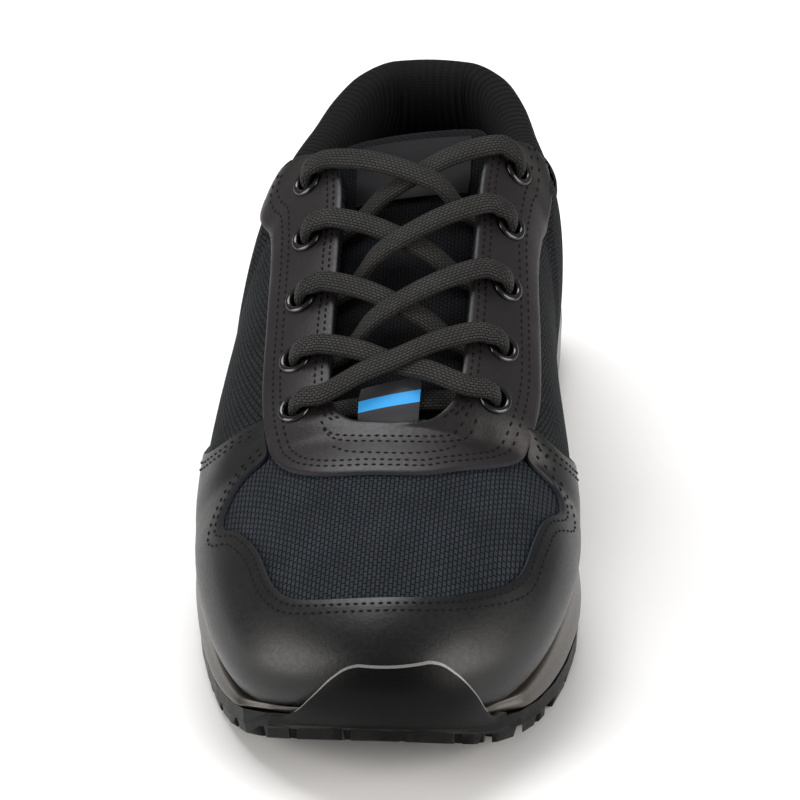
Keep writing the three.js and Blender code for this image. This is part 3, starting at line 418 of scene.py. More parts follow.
def outline(flare):
    """The closed line of the sole at one flare, as a function of the station."""
    ways = [along_to_y(r["along"]) for r in OUTLINE]
    outer = [(-(r["outer"] + flare * r["outer_flare"]) * BALL_WIDTH, y) for r, y in zip(OUTLINE, ways)]
    inner = [((r["inner"] + flare * r["inner_flare"]) * BALL_WIDTH, y) for r, y in zip(OUTLINE, ways)]
    points = np.array(outer + inner[-2:0:-1])
    p0, p1, p2, p3 = (np.roll(points, -k, axis=0)[:, None] for k in (-1, 0, 1, 2))
    gaps = (p1 - p0, p2 - p1, p3 - p2)
    d0, d1, d2 = (np.linalg.norm(gap, axis=2, keepdims=True) ** 0.5 for gap in gaps)
    m1 = ((p1 - p0) / d0 - (p2 - p0) / (d0 + d1) + (p2 - p1) / d1) * d1
    m2 = ((p2 - p1) / d1 - (p3 - p1) / (d1 + d2) + (p3 - p2) / d2) * d1
    s = (np.arange(SAMPLES) / SAMPLES)[None, :, None]
    ring = p1 + m1 * s + (3 * (p2 - p1) - 2 * m1 - m2) * s**2 + (2 * (p1 - p2) + m1 + m2) * s**3
    ring = ring.reshape(-1, 2)
    toe = (len(OUTLINE) - 1) * SAMPLES
    sides = [ring[: toe + 1], np.vstack([ring[:1], ring[toe:][::-1]])]
    walked = [steps_walked(side) for side in sides]

    def at(u):
        u = np.asarray(u, float)
        both = []
        for side, reached in zip(sides, walked):
            both.append(read_at(np.abs(u) * reached[-1], reached, side))
        return np.where((u < 0)[..., None], both[1], both[0])

    return at


def wrap(u):
    """Stations run from -1 (toe) on the inner side over 0 (heel) to 1 (toe) on the outer side."""
    u = np.asarray(u, float)
    return np.where(u > 1, u - 2, np.where(u <= -1, u + 2, u))


NUDGE = 0.004


def outwards(line, u):
    """The way out of the plan, square to the line."""
    step = line(wrap(u + NUDGE)) - line(wrap(u - NUDGE))
    return unit(np.stack([step[..., 1], -step[..., 0]], -1))


def inset(line, u, distance):
    """The line, moved inwards."""
    return line(wrap(u)) - outwards(line, u) * np.asarray(distance)[..., None]


tread_line, flared_line = outline(0.0), outline(1.0)


# %% A point of the last, and a point at a height over it
def upright(flat, z):
    """Adds a height to points of a plan."""
    return np.concatenate([flat, np.broadcast_to(z, flat.shape[:-1])[..., None]], -1)


def last_point(u, r):
    """r runs from the feather line (0) to the top of the rib (1)."""
    u, r = np.broadcast_arrays(wrap(u), np.asarray(r, float))
    station, side = np.abs(u), np.where(u < 0, 1.0, -1.0)
    out = upright(outwards(flared_line, u), 0.0)
    foot = inset(flared_line, u, UPPER_INSET)
    foot = upright(foot, feather(foot[..., 1]) + 1.5 * CLEARANCE)
    y = along_to_y(rib["along"](station))
    x = shift_at(0.5 - y / LENGTH) * BALL_WIDTH + side * rib["across"](station) * BALL_WIDTH
    top = upright(np.stack([x, y], -1), rib["top"](station) + side * rib["tilt"](station))
    height = (top - foot)[..., 2]
    low = foot + out * (rib["flare"](station) * BALL_WIDTH)[..., None]
    low[..., 2] += rib["rise"](station) * height
    high = top + out * (rib["reach"](station) * BALL_WIDTH)[..., None]
    high[..., 2] -= rib["drop"](station) * height
    r = r[..., None]
    q = 1 - r
    return foot * q**3 + low * 3 * q * q * r + high * 3 * q * r * r + top * r**3


POLE = 0.97


def one_sided_normal(u, r):
    """The way out of the last, taken on one side of its ridge."""
    at = np.minimum(r, POLE)
    round_step = last_point(u + NUDGE, at) - last_point(u - NUDGE, at)
    up_step = last_point(u, np.minimum(at + NUDGE, 1)) - last_point(u, np.maximum(at - NUDGE, 0))
    return unit(np.cross(round_step, up_step))


def last_normal(u, r):
    """The way out of the last. Both sides share one normal on the ridge."""
    u, r = np.broadcast_arrays(np.asarray(u, float), np.asarray(r, float))
    normal = one_sided_normal(u, r)
    closed = (r > 0.9999) & (np.abs(u) >= THROAT_END - 1e-9)
    both = unit(normal + one_sided_normal(-u, r))
    return np.where(closed[..., None], both, normal)


def on_last(u, r, height):
    """A point at a height over the last."""
    return last_point(u, r) + last_normal(u, r) * np.asarray(height)[..., None]


def below_top(u, distance):
    """The r that lies a distance in from the top of the rib at u."""
    shares = np.linspace(1, 0, 241)
    path = last_point(np.full_like(shares, u), shares)
    return np.interp(distance, steps_walked(path), shares)


low, high = last_point(0.6, 0.0), last_point(0.6, 1.0)
print("rib at 0.6 runs from", np.round(low, 1), "to", np.round(high, 1))

# %% [markdown]
# ## Laying a sheet on the last
# A shoemaker cuts flat parts and pulls them over the last. Here a flat grid plays that part: one side
# of it runs round the shoe from station to station, the other runs up each rib. It closes on itself
# at the toe and along the ridge, where its edges are welded, and stays open at the collar and throat.

# %% A grid pulled over the last
STEPS = 8
station_marks = [row["station"] for row in RIBS]
spans = zip(station_marks, station_marks[1:])
half_way = np.concatenate([np.linspace(a, b, STEPS, endpoint=False) for a, b in spans] + [[1.0]])
all_stations = np.concatenate([-half_way[::-1], half_way[1:]])


def sheet_on_last(name, height, rows=44):
    """A sheet over the whole last at one height."""
    piece, across, up = new_grid(name, len(all_stations) - 1, rows)
    u = all_stations[np.round(across * (len(all_stations) - 1)).astype(int)]
    places = on_last(u, np.sin(up * math.pi / 2), np.full(len(u), height))
    lay(piece, in_metres(places))
    weld(piece)
    return piece


# %% [markdown]
# ## Drawing a part on the last
# The edge of a leather part is drawn as a short table of points, in plan or in side view, and made
# smooth. Each point is then looked up on the last, as its station and its share of the rib. A part is
# laid as even rows between its drawn edge and its other edge, because rows that follow the edge give
# it a clean rim that rounds over well.


# %% Drawn lines
def spline(points, steps=10):
    """A smooth open line through points of a drawing."""
    points = np.array(points, float)
    padded = np.vstack([2 * points[0] - points[1], points, 2 * points[-1] - points[-2]])
    line = []
    for k in range(1, len(padded) - 2):
        p0, p1, p2, p3 = padded[k - 1 : k + 3]
        square, cube = 2 * p0 - 5 * p1 + 4 * p2 - p3, 3 * (p1 - p2) + p3 - p0
        for s in np.arange(steps) / steps:
            line.append(0.5 * (2 * p1 + (p2 - p0) * s + square * s**2 + cube * s**3))
    return np.array(line + [points[-1]])


def inside_line(line, spots):
    """Tells for each spot whether it lies inside a closed line."""
    x, y = spots[:, 0, None], spots[:, 1, None]
    a, b = line, np.roll(line, -1, axis=0)
    straddles = (a[:, 1] > y) != (b[:, 1] > y)
    slope = (b[:, 0] - a[:, 0]) / np.where(b[:, 1] == a[:, 1], 1e-12, b[:, 1] - a[:, 1])
    return (np.sum(straddles & (x < a[:, 0] + slope * (y - a[:, 1])), axis=1) % 2) == 1


PLAN, SIDE = (0, 1, 2), (1, 2, 0)
NET_ROUND, NET_UP, TRIES = 300, 120, 7
round_marks, up_marks = np.linspace(-1, 1, 2 * NET_ROUND + 1), np.linspace(0, 1, NET_UP + 1)
net_u, net_r = np.meshgrid(round_marks, up_marks, indexing="ij")
net = last_point(net_u, net_r)


def find_on_last(spots, view, side=0):
    """The station and rib share of spots that are drawn in plan, or in side view of one side."""
    usable = (net_u * side > 0) if side else (net_r > 0.2)
    u, r, places = net_u[usable], net_r[usable], net[usable]
    tree = KDTree(len(u))
    for k, place in enumerate(places):
        tree.insert((place[view[0]], place[view[1]], -0.15 * place[2] if not side else 0.0), k)
    tree.balance()
    found = []
    for spot in np.asarray(spots, float):
        near = tree.find((spot[0], spot[1], -12.0 if not side else 0.0))[1]
        found.append((u[near], r[near]))
    found = np.array(found)
    reach = np.array([1 / NET_ROUND, 1 / NET_UP])
    step = np.linspace(-1, 1, TRIES)
    steps = np.stack(np.meshgrid(step, step, indexing="ij"), -1).reshape(-1, 2)
    for _ in range(TRIES):
        tries = found[:, None] + steps[None] * reach
        tries[..., 1] = np.clip(tries[..., 1], 0, 1)
        places = last_point(tries[..., 0], tries[..., 1])
        miss = ((places[..., view[:2]] - np.asarray(spots)[:, None]) ** 2).sum(-1)
        found = tries[np.arange(len(found)), miss.argmin(1)]
        reach = reach * 0.55
    return found


def even_edge(parts, step=1.5):
    """Joins looked-up lines and walks them at even steps."""
    line = np.vstack(parts)
    walked = steps_walked(last_point(line[:, 0], line[:, 1]))
    return read_at(np.linspace(0, walked[-1], int(walked[-1] / step) + 1), walked, line)


def lay_rows(name, rows_of_spots, height, passes=6):
    """A sheet through rows of (station, rib share) spots, evened out along the rows, facing outwards."""
    count, rows = rows_of_spots.shape[1] - 1, rows_of_spots.shape[0] - 1
    piece, across, up = new_grid(name, count, rows)
    places = on_last(rows_of_spots[..., 0], rows_of_spots[..., 1], np.full(rows_of_spots.shape[:2], height))
    for _ in range(passes):
        places[:, 1:-1] = 0.25 * (places[:, :-2] + 2 * places[:, 1:-1] + places[:, 2:])
    i, j = np.round(across * count).astype(int), np.round(up * rows).astype(int)
    lay(piece, in_metres(places[j, i]))
    face = piece.data.polygons[len(piece.data.polygons) // 2]
    middle = rows_of_spots[j, i][face.vertices[0]]
    if np.dot(face.normal, last_normal(middle[0], middle[1])) < 0:
        edit_all(piece, bpy.ops.mesh.flip_normals)
    return piece


# %% Thickness with a rounded edge
def leather_part(piece, thickness, edge=0.55 * MM, offset=1.0, rim_share=0.8):
    """Gives a cut sheet its thickness, thinner along the edge, as skived leather is. Its cut edge gets
    the second material."""
    if edge:
        edit_all(piece, bpy.ops.mesh.inset, thickness=edge, use_boundary=True, use_even_offset=False)
    mesh = bmesh.new()
    mesh.from_mesh(piece.data)
    rim = [v.index for v in mesh.verts if v.is_boundary]
    mesh.free()
    add_slots(piece, 2)
    if "skive" not in piece.vertex_groups:
        group = piece.vertex_groups.new(name="skive")
        group.add(list(range(len(piece.data.vertices))), 1.0, "REPLACE")
        group.add(rim, rim_share, "REPLACE")
    finish_modifier(
        piece,
        "SOLIDIFY",
        thickness=thickness,
        offset=offset,
        vertex_group="skive",
        use_even_offset=False,
        material_offset_rim=1,
    )
    smooth(piece, 55)


# %% Outlines of the leather parts, as shares of the length and of the ball width
EYESTAY_EDGE = table(
    "along outer inner",
    (0.392, 0.345, 0.352),
    (0.398, 0.366, 0.368),
    (0.41, 0.377, 0.38),
    (0.424, 0.376, 0.382),
    (0.438, 0.36, 0.377),
    (0.455, 0.339, 0.368),
    (0.5, 0.327, 0.362),
    (0.58, 0.319, 0.38),
    (0.65, 0.311, 0.391),
    (0.695, 0.297, 0.378),
    (0.725, 0.277, 0.345),
    (0.752, 0.245, 0.28),
    (0.773, 0.192, 0.192),
    (0.786, 0.09, 0.105),
)
VAMP_WINDOW = table(
    "across along",
    (-0.285, 0.733),
    (-0.348, 0.747),
    (-0.385, 0.787),
    (-0.33, 0.812),
    (-0.272, 0.85),
    (-0.225, 0.893),
    (-0.15, 0.922),
    (0.016, 0.935),
    (0.16, 0.926),
    (0.28, 0.897),
    (0.37, 0.86),
    (0.4, 0.815),
    (0.422, 0.775),
    (0.46, 0.742),
    (0.446, 0.717),
    (0.378, 0.714),
)
SIDE_EDGE = table(
    "along height",
    (0.693, 0.6),
    (0.676, 0.5),
    (0.64, 0.42),
    (0.56, 0.352),
    (0.45, 0.325),
    (0.33, 0.317),
    (0.3, 0.31),
)
COUNTER_EDGE = table(
    "along height",
    (0.248, 0.27),
    (0.21, 0.38),
    (0.16, 0.55),
    (0.1, 0.64),
    (0.03, 0.66),
)


def plan_metres(line):
    """A line in plan, moved to the frame's metres."""
    return (np.asarray(line) + TO_FRAME[:2]) * MM


def side_metres(line):
    """A line in side view, moved to the frame's metres."""
    return (np.asarray(line) + TO_FRAME[1:]) * MM


def eyestay_line(gap=0.0):
    """The outer edge of the eyestay in plan, from ear to ear, and a gap further out."""
    outer, inner = [], []
    for row in EYESTAY_EDGE:
        y = along_to_y(row["along"]) - gap / 2
        outer.append((-row["outer"] * BALL_WIDTH - gap, y))
        inner.append((row["inner"] * BALL_WIDTH + gap, y))
    return spline(outer + inner[::-1])


window_line = spline([(row["across"] * BALL_WIDTH, along_to_y(row["along"])) for row in VAMP_WINDOW])


def side_line(rows):
    """An edge drawn in side view."""
    return spline([(along_to_y(row["along"]), row["height"] * INSTEP_HEIGHT) for row in rows])


print("outlines", len(eyestay_line()), len(window_line))

# %% [markdown]
# ## The upper
# The upper is one wall of textile, 2.2 mm thick with its backing. The sheet on the last gives its
# outer face and Solidify adds the wall inwards. Its weave needs a map that follows the cloth: over the
# toes the map is the plan view, and along the sides it is the way round the shoe and the height.

# %% The upper's wall
VAMP_END = -0.058
FOOT_BAND = 4
upper = sheet_on_last("upper_textile", 0.0)


def weave_map(piece, front):
    """A map in metres: the plan in front of a line, and round the shoe by height behind it."""
    work_on(piece)
    layer = piece.data.uv_layers.new(name="weave")
    places = corners(piece)
    sides = np.linspace(-1, 1, 721)
    ring = (flared_line(wrap(sides)) + TO_FRAME[:2]) * MM
    walked = steps_walked(ring)
    loops = loop_corners(piece)
    nearest = np.array([np.argmin(((ring - place[:2]) ** 2).sum(1)) for place in places])
    round_map = np.stack([walked[nearest], places[:, 2]], -1)
    plan_map = places[:, :2]
    middles = face_middles(piece)
    counts = np.empty(len(piece.data.polygons), int)
    piece.data.polygons.foreach_get("loop_total", counts)
    in_front = np.repeat(middles[:, 1] < front, counts)
    uv = np.where(in_front[:, None], plan_map[loops], round_map[loops])
    layer.data.foreach_set("uv", uv.ravel())


weave_map(upper, VAMP_END)
middles = face_middles(upper)
at_foot = middles[:, 2] < (feather(middles[:, 1] / MM - TO_FRAME[1]) + TO_FRAME[2] + FOOT_BAND) * MM
behind = ((middles[:, 1] > VAMP_END) | at_foot).astype(int)
add_slots(upper, 4)
upper.data.polygons.foreach_set("material_index", behind)
finish_modifier(
    upper, "SOLIDIFY", thickness=UPPER_WALL * MM, offset=-1.0, use_even_offset=False, material_offset=2
)
smooth(upper, 60)
print("upper", len(upper.data.polygons), "faces")

# %% [markdown]
# ## The leather parts
# Toe cap, eyestay and heel counter lie in one layer, a hair above the textile. The eyestay is laid in
# rows from its outer edge to the edge of the throat. The toe cap and the heel counter are laid from
# the foot of the upper to their drawn edge: low along the side, up to the eyestay, and round the
# window for the textile vamp, which dips in the middle and rises in a step on both sides.

# %% Eyestay
STAY_ROWS, STAY_POINTS = 18, 233
UNDER_CUFF, CUFF_FROM, CUFF_END = 5.6, 0.466, 0.492
FAN = 0.07
outer_line = eyestay_line()
walked = steps_walked(outer_line)
outer_line = read_at(np.linspace(0, walked[-1], STAY_POINTS), walked, outer_line)
throat_stations = np.linspace(0.4, THROAT_END, 300)
below_cuff = UNDER_CUFF * (1 - smoothstep(CUFF_FROM, CUFF_END, throat_stations))
throat_edge = []
for side in (1, -1):
    r = np.array([float(below_top(side * u, gap)) for u, gap in zip(throat_stations, below_cuff)])
    edge = last_point(side * throat_stations, r)
    keep = edge[:, 1] <= outer_line[0, 1]
    throat_edge.append(np.column_stack([edge, side * throat_stations, r])[keep][::side])
throat_edge = np.vstack(throat_edge)
walked = steps_walked(throat_edge[:, :3])
# The narrow front of the throat takes more of the columns than its length alone would give.
fan = np.linspace(0, 1, STAY_POINTS)
fan = fan + FAN * np.sin(2 * math.pi * fan)
throat_edge = read_at(fan * walked[-1], walked, throat_edge)
throat_line = throat_edge[:, :2]
share = np.linspace(0, 1, STAY_ROWS + 1)[:, None, None]
drawn = outer_line * (1 - share) + throat_line * share
spots = find_on_last(drawn.reshape(-1, 2), PLAN).reshape(*drawn.shape[:2], 2)
spots[-1] = throat_edge[:, 3:]
eyestay = lay_rows("eyestay_leather", spots, CLEARANCE)
leather_part(eyestay, LEATHER * MM)
print("eyestay", len(eyestay.data.polygons), "faces")

# %% Toe cap
FOOT_SHARE, EASE = 0.035, 12
stay_gap = eyestay_line(CLEARANCE)
cap_back = along_to_y(SIDE_EDGE[0]["along"])
beside_stay = stay_gap[(stay_gap[:, 1] < cap_back) & ~inside_line(window_line, stay_gap)]
window_open = window_line[~inside_line(stay_gap, window_line)]
lateral_side = find_on_last(side_line(SIDE_EDGE)[::-1], SIDE, 1)
medial_side = find_on_last(side_line(SIDE_EDGE), SIDE, -1)
lateral_stay = find_on_last(beside_stay[beside_stay[:, 0] < 0], PLAN)
medial_stay = find_on_last(beside_stay[beside_stay[:, 0] > 0], PLAN)
parts = [lateral_side, lateral_stay, find_on_last(window_open, PLAN), medial_stay, medial_side]
for part in parts:
    part[:, 0] = np.where(part[:, 0] < 0, part[:, 0] + 2, part[:, 0])
cap_edge = even_edge(parts)


def down_to_foot(edge, rows):
    """Rows of spots from the foot of the upper to an edge."""
    toe = int(np.argmin(np.abs(edge[:, 0] - (1 if edge[0, 0] > 0 else 0))))
    before = np.minimum.accumulate(edge[:toe, 0][::-1])[::-1]
    after = np.maximum.accumulate(edge[toe:, 0])
    foot = np.stack([np.concatenate([before, after]), np.full(len(edge), FOOT_SHARE)], -1)
    window = np.ones(2 * EASE + 1) / (2 * EASE + 1)
    padded = np.concatenate([np.full(EASE, foot[0, 0]), foot[:, 0], np.full(EASE, foot[-1, 0])])
    eased = np.convolve(padded, window, "valid")
    # The rows come from behind the edge, never through the window.
    in_order = np.arange(len(edge)) >= toe
    foot[:, 0] = np.where(in_order, np.maximum(foot[:, 0], eased), np.minimum(foot[:, 0], eased))
    foot[:, 0] += 2e-5 * (np.arange(len(edge)) - toe)
    share = np.linspace(0, 1, rows + 1)[:, None, None]
    return foot * (1 - share) + edge * share


toe_cap = lay_rows("toe_cap_leather", down_to_foot(cap_edge, 26), CLEARANCE)
leather_part(toe_cap, LEATHER * MM, edge=0)
print("toe cap", len(toe_cap.data.polygons), "faces")

# %% Heel counter
counter_side = side_line(COUNTER_EDGE)
parts = [find_on_last(counter_side, SIDE, -1), find_on_last(counter_side[::-1], SIDE, 1)]
counter_edge_spots = even_edge(parts)
counter = lay_rows("heel_counter_leather", down_to_foot(counter_edge_spots, 20), CLEARANCE)
leather_part(counter, LEATHER * MM)
print("heel counter", len(counter.data.polygons), "faces")

# %% [markdown]
# ## Rings stacked into a body
# Midsole, collar pad, tongue and lace are all lofts: closed rings of points, one after another, with
# the first and the last closed. The same grid primitive serves, with one side of it bent into the
# ring and its edges welded. Rungs from side to side close the two ends.


# %% Loft
def stack_rings(name, rings, facing):
    """A closed body through rings of equal length. facing(i) tells which point closes point i.
    Its map "run" gives the metres walked along the body and round it."""
    rings = np.asarray(rings, float)
    count = rings.shape[1]
    piece, across, up = new_grid(name, count, len(rings) - 1)
    i = np.round(across * count).astype(int)
    j = np.round(up * (len(rings) - 1)).astype(int)
    lay(piece, in_metres(rings[j, i % count]))
    steps_round = np.linalg.norm(np.diff(rings, axis=1, append=rings[:, :1]), axis=2)
    round_it = np.concatenate([np.zeros((len(rings), 1)), np.cumsum(steps_round, axis=1)], axis=1)
    steps_along = np.linalg.norm(np.diff(rings.mean(axis=1), axis=0), axis=1)
    along_it = np.concatenate([[0], np.cumsum(steps_along)])
    layer = piece.data.uv_layers.new(name="run")
    run = np.stack([along_it[j], round_it[j, i]], -1)[loop_corners(piece)]
    layer.data.foreach_set("uv", run.ravel() * MM)
    mesh = bmesh.new()
    mesh.from_mesh(piece.data)
    mesh.verts.ensure_lookup_table()
    at = {(a % count, b): mesh.verts[k] for k, (a, b) in enumerate(zip(i, j)) if a < count}
    for end in (0, len(rings) - 1):
        k = 0
        while k + 1 <= facing(k + 1, count):
            corner = [at[(p % count, end)] for p in (k, k + 1, facing(k + 1, count), facing(k, count))]
            unique = list(dict.fromkeys(corner))
            if len(unique) > 2:
                mesh.faces.new(unique)
            k += 1
    mesh.to_mesh(piece.data)
    mesh.free()
    weld(piece)
    return piece


def facing_loop(i, count):
    """A ring whose first point lies in the middle of one side."""
    return (count - i) % count if i else 0


def facing_strip(i, count):
    """A ring whose first and last points lie over each other."""
    return count - 1 - i


# %% [markdown]
# ## The midsole
# The midsole is moulded foam with a thin smooth skin. Its side swells a little, leans out under the
# arch of the foot and rounds over at the top, where the upper sinks in behind a dark groove. Rings
# from the bottom to the top edge follow the sole's outline, with their inset read from a short table.

# %% Midsole
SIDE_BULGE, TOE_SETBACK, LEDGE = 0.8, 4.4, 9.0
TOE_FROM, SETBACK_FULL, BULGE_GONE = 0.85, 0.89, 0.93
MIDSOLE_LEVELS = (0, 0.02, 0.05, 0.12, 0.22, 0.35, 0.5, 0.65, 0.78, 0.86, 0.92, 0.955, 0.985, 1.0)
MIDSOLE_SIDE = table(
    "share flare inset setback bulge",
    (0.0, 0.0, 1.2, 1.0, 0.0),
    (0.05, 0.05, 0.6, 1.0, 0.2),
    (0.3, 0.3, 0.0, 0.9, 1.0),
    (0.78, 0.8, 0.25, 0.85, 0.0),
    (0.92, 0.94, 0.55, 0.82, 0.0),
    (0.985, 1.0, 1.3, 0.8, 0.0),
    (1.0, 1.0, 2.2, 0.8, 0.0),
)
sole_half = np.linspace(0, 1, 161)
sole_stations = np.concatenate([sole_half, -sole_half[1:-1][::-1]])
station = np.abs(sole_stations)
toe_back = TOE_SETBACK * smoothstep(TOE_FROM, SETBACK_FULL, station)
bulge = SIDE_BULGE * (1 - smoothstep(TOE_FROM, BULGE_GONE, station))
side_curves = [through(MIDSOLE_SIDE, "share", name) for name in ("flare", "inset", "setback", "bulge")]
rings = []
for share in MIDSOLE_LEVELS:
    flare, edge, back_off, swell = (float(curve(share)) for curve in side_curves)
    inwards = edge + back_off * toe_back - swell * bulge
    plain, flared = (inset(line, sole_stations, inwards) for line in (tread_line, flared_line))
    line = plain * (1 - flare) + flared * flare
    bottom = underside(line[:, 1]) + OUTSOLE_EDGE + 0.05
    rings.append(upright(line, bottom + (feather(line[:, 1]) - bottom) * share))
ledge = inset(flared_line, sole_stations, LEDGE + toe_back)
rings.append(upright(ledge, feather(ledge[:, 1])))
midsole = stack_rings("midsole_foam", rings, facing_loop)
smooth(midsole, 50)
print("midsole", len(midsole.data.polygons), "faces")

# %% [markdown]
# ## The outsole and its toe bumper
# The outsole's lugs are already cut in the CAD piece, so a welded copy of it only needs smooth
# shading. The bumper is the rubber tongue that rises over the toe. It catches a line of light along
# its rim, so it gets a fine grid of its own with a rounded edge, laid a little proud of the CAD one.
# Its top row along the rim also gets a lighter rubber, a painted highlight.


# %% Outsole
FLAP_FRONT, FLAP_ABOVE, FLAP_INWARDS = -115 * MM, 0.6, 4.5
TOE_MIDDLE = np.array((5, -100)) * MM


def cad_copy(cad_name, name, degrees=32.0):
    """A welded, smooth-shaded copy of a CAD node."""
    piece = bpy.data.objects.new(name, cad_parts[cad_name].data.copy())
    bpy.context.collection.objects.link(piece)
    edit_all(piece, bpy.ops.mesh.remove_doubles, threshold=1e-6)
    smooth(piece, degrees)
    return piece


outsole = cad_copy("outsole", "outsole_rubber")
places = corners(outsole)
lift = places[:, 2] / MM - TO_FRAME[2] - underside(places[:, 1] / MM - TO_FRAME[1])
# The CAD bumper steps back behind the fine one that is laid over it.
toe_flap = (places[:, 1] < FLAP_FRONT) & (lift > OUTSOLE_EDGE + FLAP_ABOVE)
inwards = unit(TOE_MIDDLE - places[:, :2])
places[toe_flap, :2] += inwards[toe_flap] * FLAP_INWARDS * MM
lay(outsole, places)
print("outsole", len(outsole.data.polygons), "faces")

# %% Toe bumper
BUMPER_HEIGHT, BUMPER_THICKNESS, BUMPER_TIP = 41.0, 3.2, 1.7
BUMPER_CENTRE, BUMPER_END = 1.0055, 0.11
BUMPER_GAP = LEATHER + 4 * CLEARANCE
BUMPER_SHAPE = table(
    "beside rise",
    (0.0, 1.0),
    (0.024, 1.0),
    (0.034, 0.95),
    (0.046, 0.79),
    (0.062, 0.48),
    (0.078, 0.2),
    (0.095, 0.04),
    (BUMPER_END, 0.0),
)
bumper_rise = through(BUMPER_SHAPE, "beside", "rise")
PROUD, BUMPER_WALL = 0.35, 4.2
BUMPER_COLUMNS, FACE_ROWS, FOOT_SHARES = 96, 24, (0, 0.35, 0.7)
BUMPER_ROWS = FACE_ROWS + 2 * len(FOOT_SHARES)
LEAST_RISE, BUMPER_FOOT, FOOT_ROUND, PAINTED_HIGHLIGHT_HALF = 0.5, 3.3, 0.5, 0.72
path_shares = np.linspace(0, 1, 400)
up_bumper = np.linspace(0, 1, FACE_ROWS + 1)
bumper, across, up = new_grid("toe_bumper", BUMPER_COLUMNS, BUMPER_ROWS)
flat = face_middles(bumper)
add_slots(bumper, 2)
# The top row over the middle of the bumper gets the lighter rubber, and the shell's cut edges get it from
# the Solidify below: a painted highlight along the rim.
painted_highlight_row = (flat[:, 1] > 1 - 2 / BUMPER_ROWS) & (np.abs(flat[:, 0]) < PAINTED_HIGHLIGHT_HALF)
bumper.data.polygons.foreach_set("material_index", painted_highlight_row.astype(int))
places = np.empty((BUMPER_COLUMNS + 1, BUMPER_ROWS + 1, 3))
for i, share_along in enumerate(np.linspace(-1, 1, BUMPER_COLUMNS + 1)):
    raw = BUMPER_CENTRE + BUMPER_END * share_along
    u = float(wrap(raw))
    rise = float(bumper_rise(abs(raw - BUMPER_CENTRE)))
    path = last_point(np.full(len(path_shares), u), path_shares)
    foot = path[0, 2]
    top = max(foot + LEAST_RISE, foot + (BUMPER_HEIGHT - foot) * rise) + PROUD
    r = np.interp(foot + (top - foot) * up_bumper, path[:, 2], path_shares)
    height = BUMPER_GAP + BUMPER_THICKNESS + (BUMPER_TIP - BUMPER_THICKNESS) * up_bumper + PROUD
    face = on_last(np.full(len(r), u), r, height)
    edge = inset(tread_line, np.array([u]), np.array([-PROUD]))[0]
    low_edge = np.array([edge[0], edge[1], underside(edge[1]) + BUMPER_FOOT])
    out = np.append(outwards(tread_line, np.array([u]))[0], 0)
    mid = 0.5 * (low_edge + face[0]) + out * FOOT_ROUND
    below = [low_edge + (mid - low_edge) * s for s in FOOT_SHARES]
    above = [mid + (face[0] - mid) * s for s in FOOT_SHARES]
    places[i] = np.vstack([*below, *above, face])
columns, rows = np.round(across * BUMPER_COLUMNS).astype(int), np.round(up * BUMPER_ROWS).astype(int)
lay(bumper, in_metres(places[columns, rows]))
# The wall is half as thick at the foot, full a quarter of the way up, and thins again to the rim.
FOOT_WALL, FULL_FROM, THIN_FROM, RIM_LOSS = 0.5, 0.27, 0.2, 0.36
skive = bumper.vertex_groups.new(name="skive")
wall_share = FOOT_WALL + (1 - FOOT_WALL) * np.clip(up / FULL_FROM, 0, 1)
wall_share *= 1 - RIM_LOSS * np.clip((up - THIN_FROM) / (1 - THIN_FROM), 0, 1)
for vertex, part_of_wall in enumerate(wall_share):
    skive.add([vertex], float(part_of_wall), "REPLACE")
weld(bumper, 1e-6)
leather_part(bumper, BUMPER_WALL * MM, edge=0, offset=-1.0)
print("bumper", len(bumper.data.polygons), "faces")

# %% [markdown]
# ## The insole
# The footbed is a foam board with a knitted top. It is a little higher round the edge than in the
# middle, so that it cups the foot, and it follows the same outline as the midsole, further in.

# %% Insole
INSOLE_GAP = 0.8
INSOLE = table(
    "further_in rise",
    (0.3, -0.25),
    (0, 0.4),
    (0, 2.8),
    (0.35, 3.6),
    (1.1, 4.0),
    (6, 3.8),
    (14, 3.0),
    (22, 2.6),
)
insole_edge = UPPER_INSET + UPPER_WALL + INSOLE_GAP
rings = []
for row in INSOLE:
    line = inset(flared_line, sole_stations, np.full(len(sole_stations), insole_edge + row["further_in"]))
    rings.append(upright(line, feather(line[:, 1]) + row["rise"]))
insole = stack_rings("insole_board", rings, facing_loop)
smooth(insole, 60)
print("insole", len(insole.data.polygons), "faces")

# %% [markdown]
# ## The collar pad
# The cuff is foam under a pleated lining. It rolls over the top edge of the upper and runs down inside
# the heel. Its section is drawn once and carried round the collar, and it thins out at both ends,
# where it tucks in beside the eyestay.

# %% Collar pad
PAD_FACE = spline(
    [
        (0.7, -5.3),
        (2.1, -4.4),
        (2.7, -1.6),
        (2.3, 1.4),
        (0.2, 3.2),
        (-3.4, 3.7),
        (-6.6, 2.4),
        (-8.5, -1.6),
        (-9.5, -7.5),
        (-9.5, -14.0),
        (-8.0, -20.5),
        (-5.6, -26.0),
        (-3.4, -30.0),
    ],
    steps=4,
)
PAD_BACK = [(-3.4, -22.0), (-3.4, -15.0), (-3.2, -7.0), (-2.8, 0.6), (-1.0, 0.7), (0.6, 0.6), (0.6, -2.5)]
pad_section = np.vstack([PAD_FACE, PAD_BACK])
PAD_END, PAD_THIN, LIP_FROM = 0.47, 0.012, 0.425
thin_from = PAD_END - PAD_THIN
pad_half = np.concatenate([np.arange(0, thin_from, 0.004), np.linspace(thin_from, PAD_END, 7)])
pad_stations = np.concatenate([-pad_half[:0:-1], pad_half])
rings = []
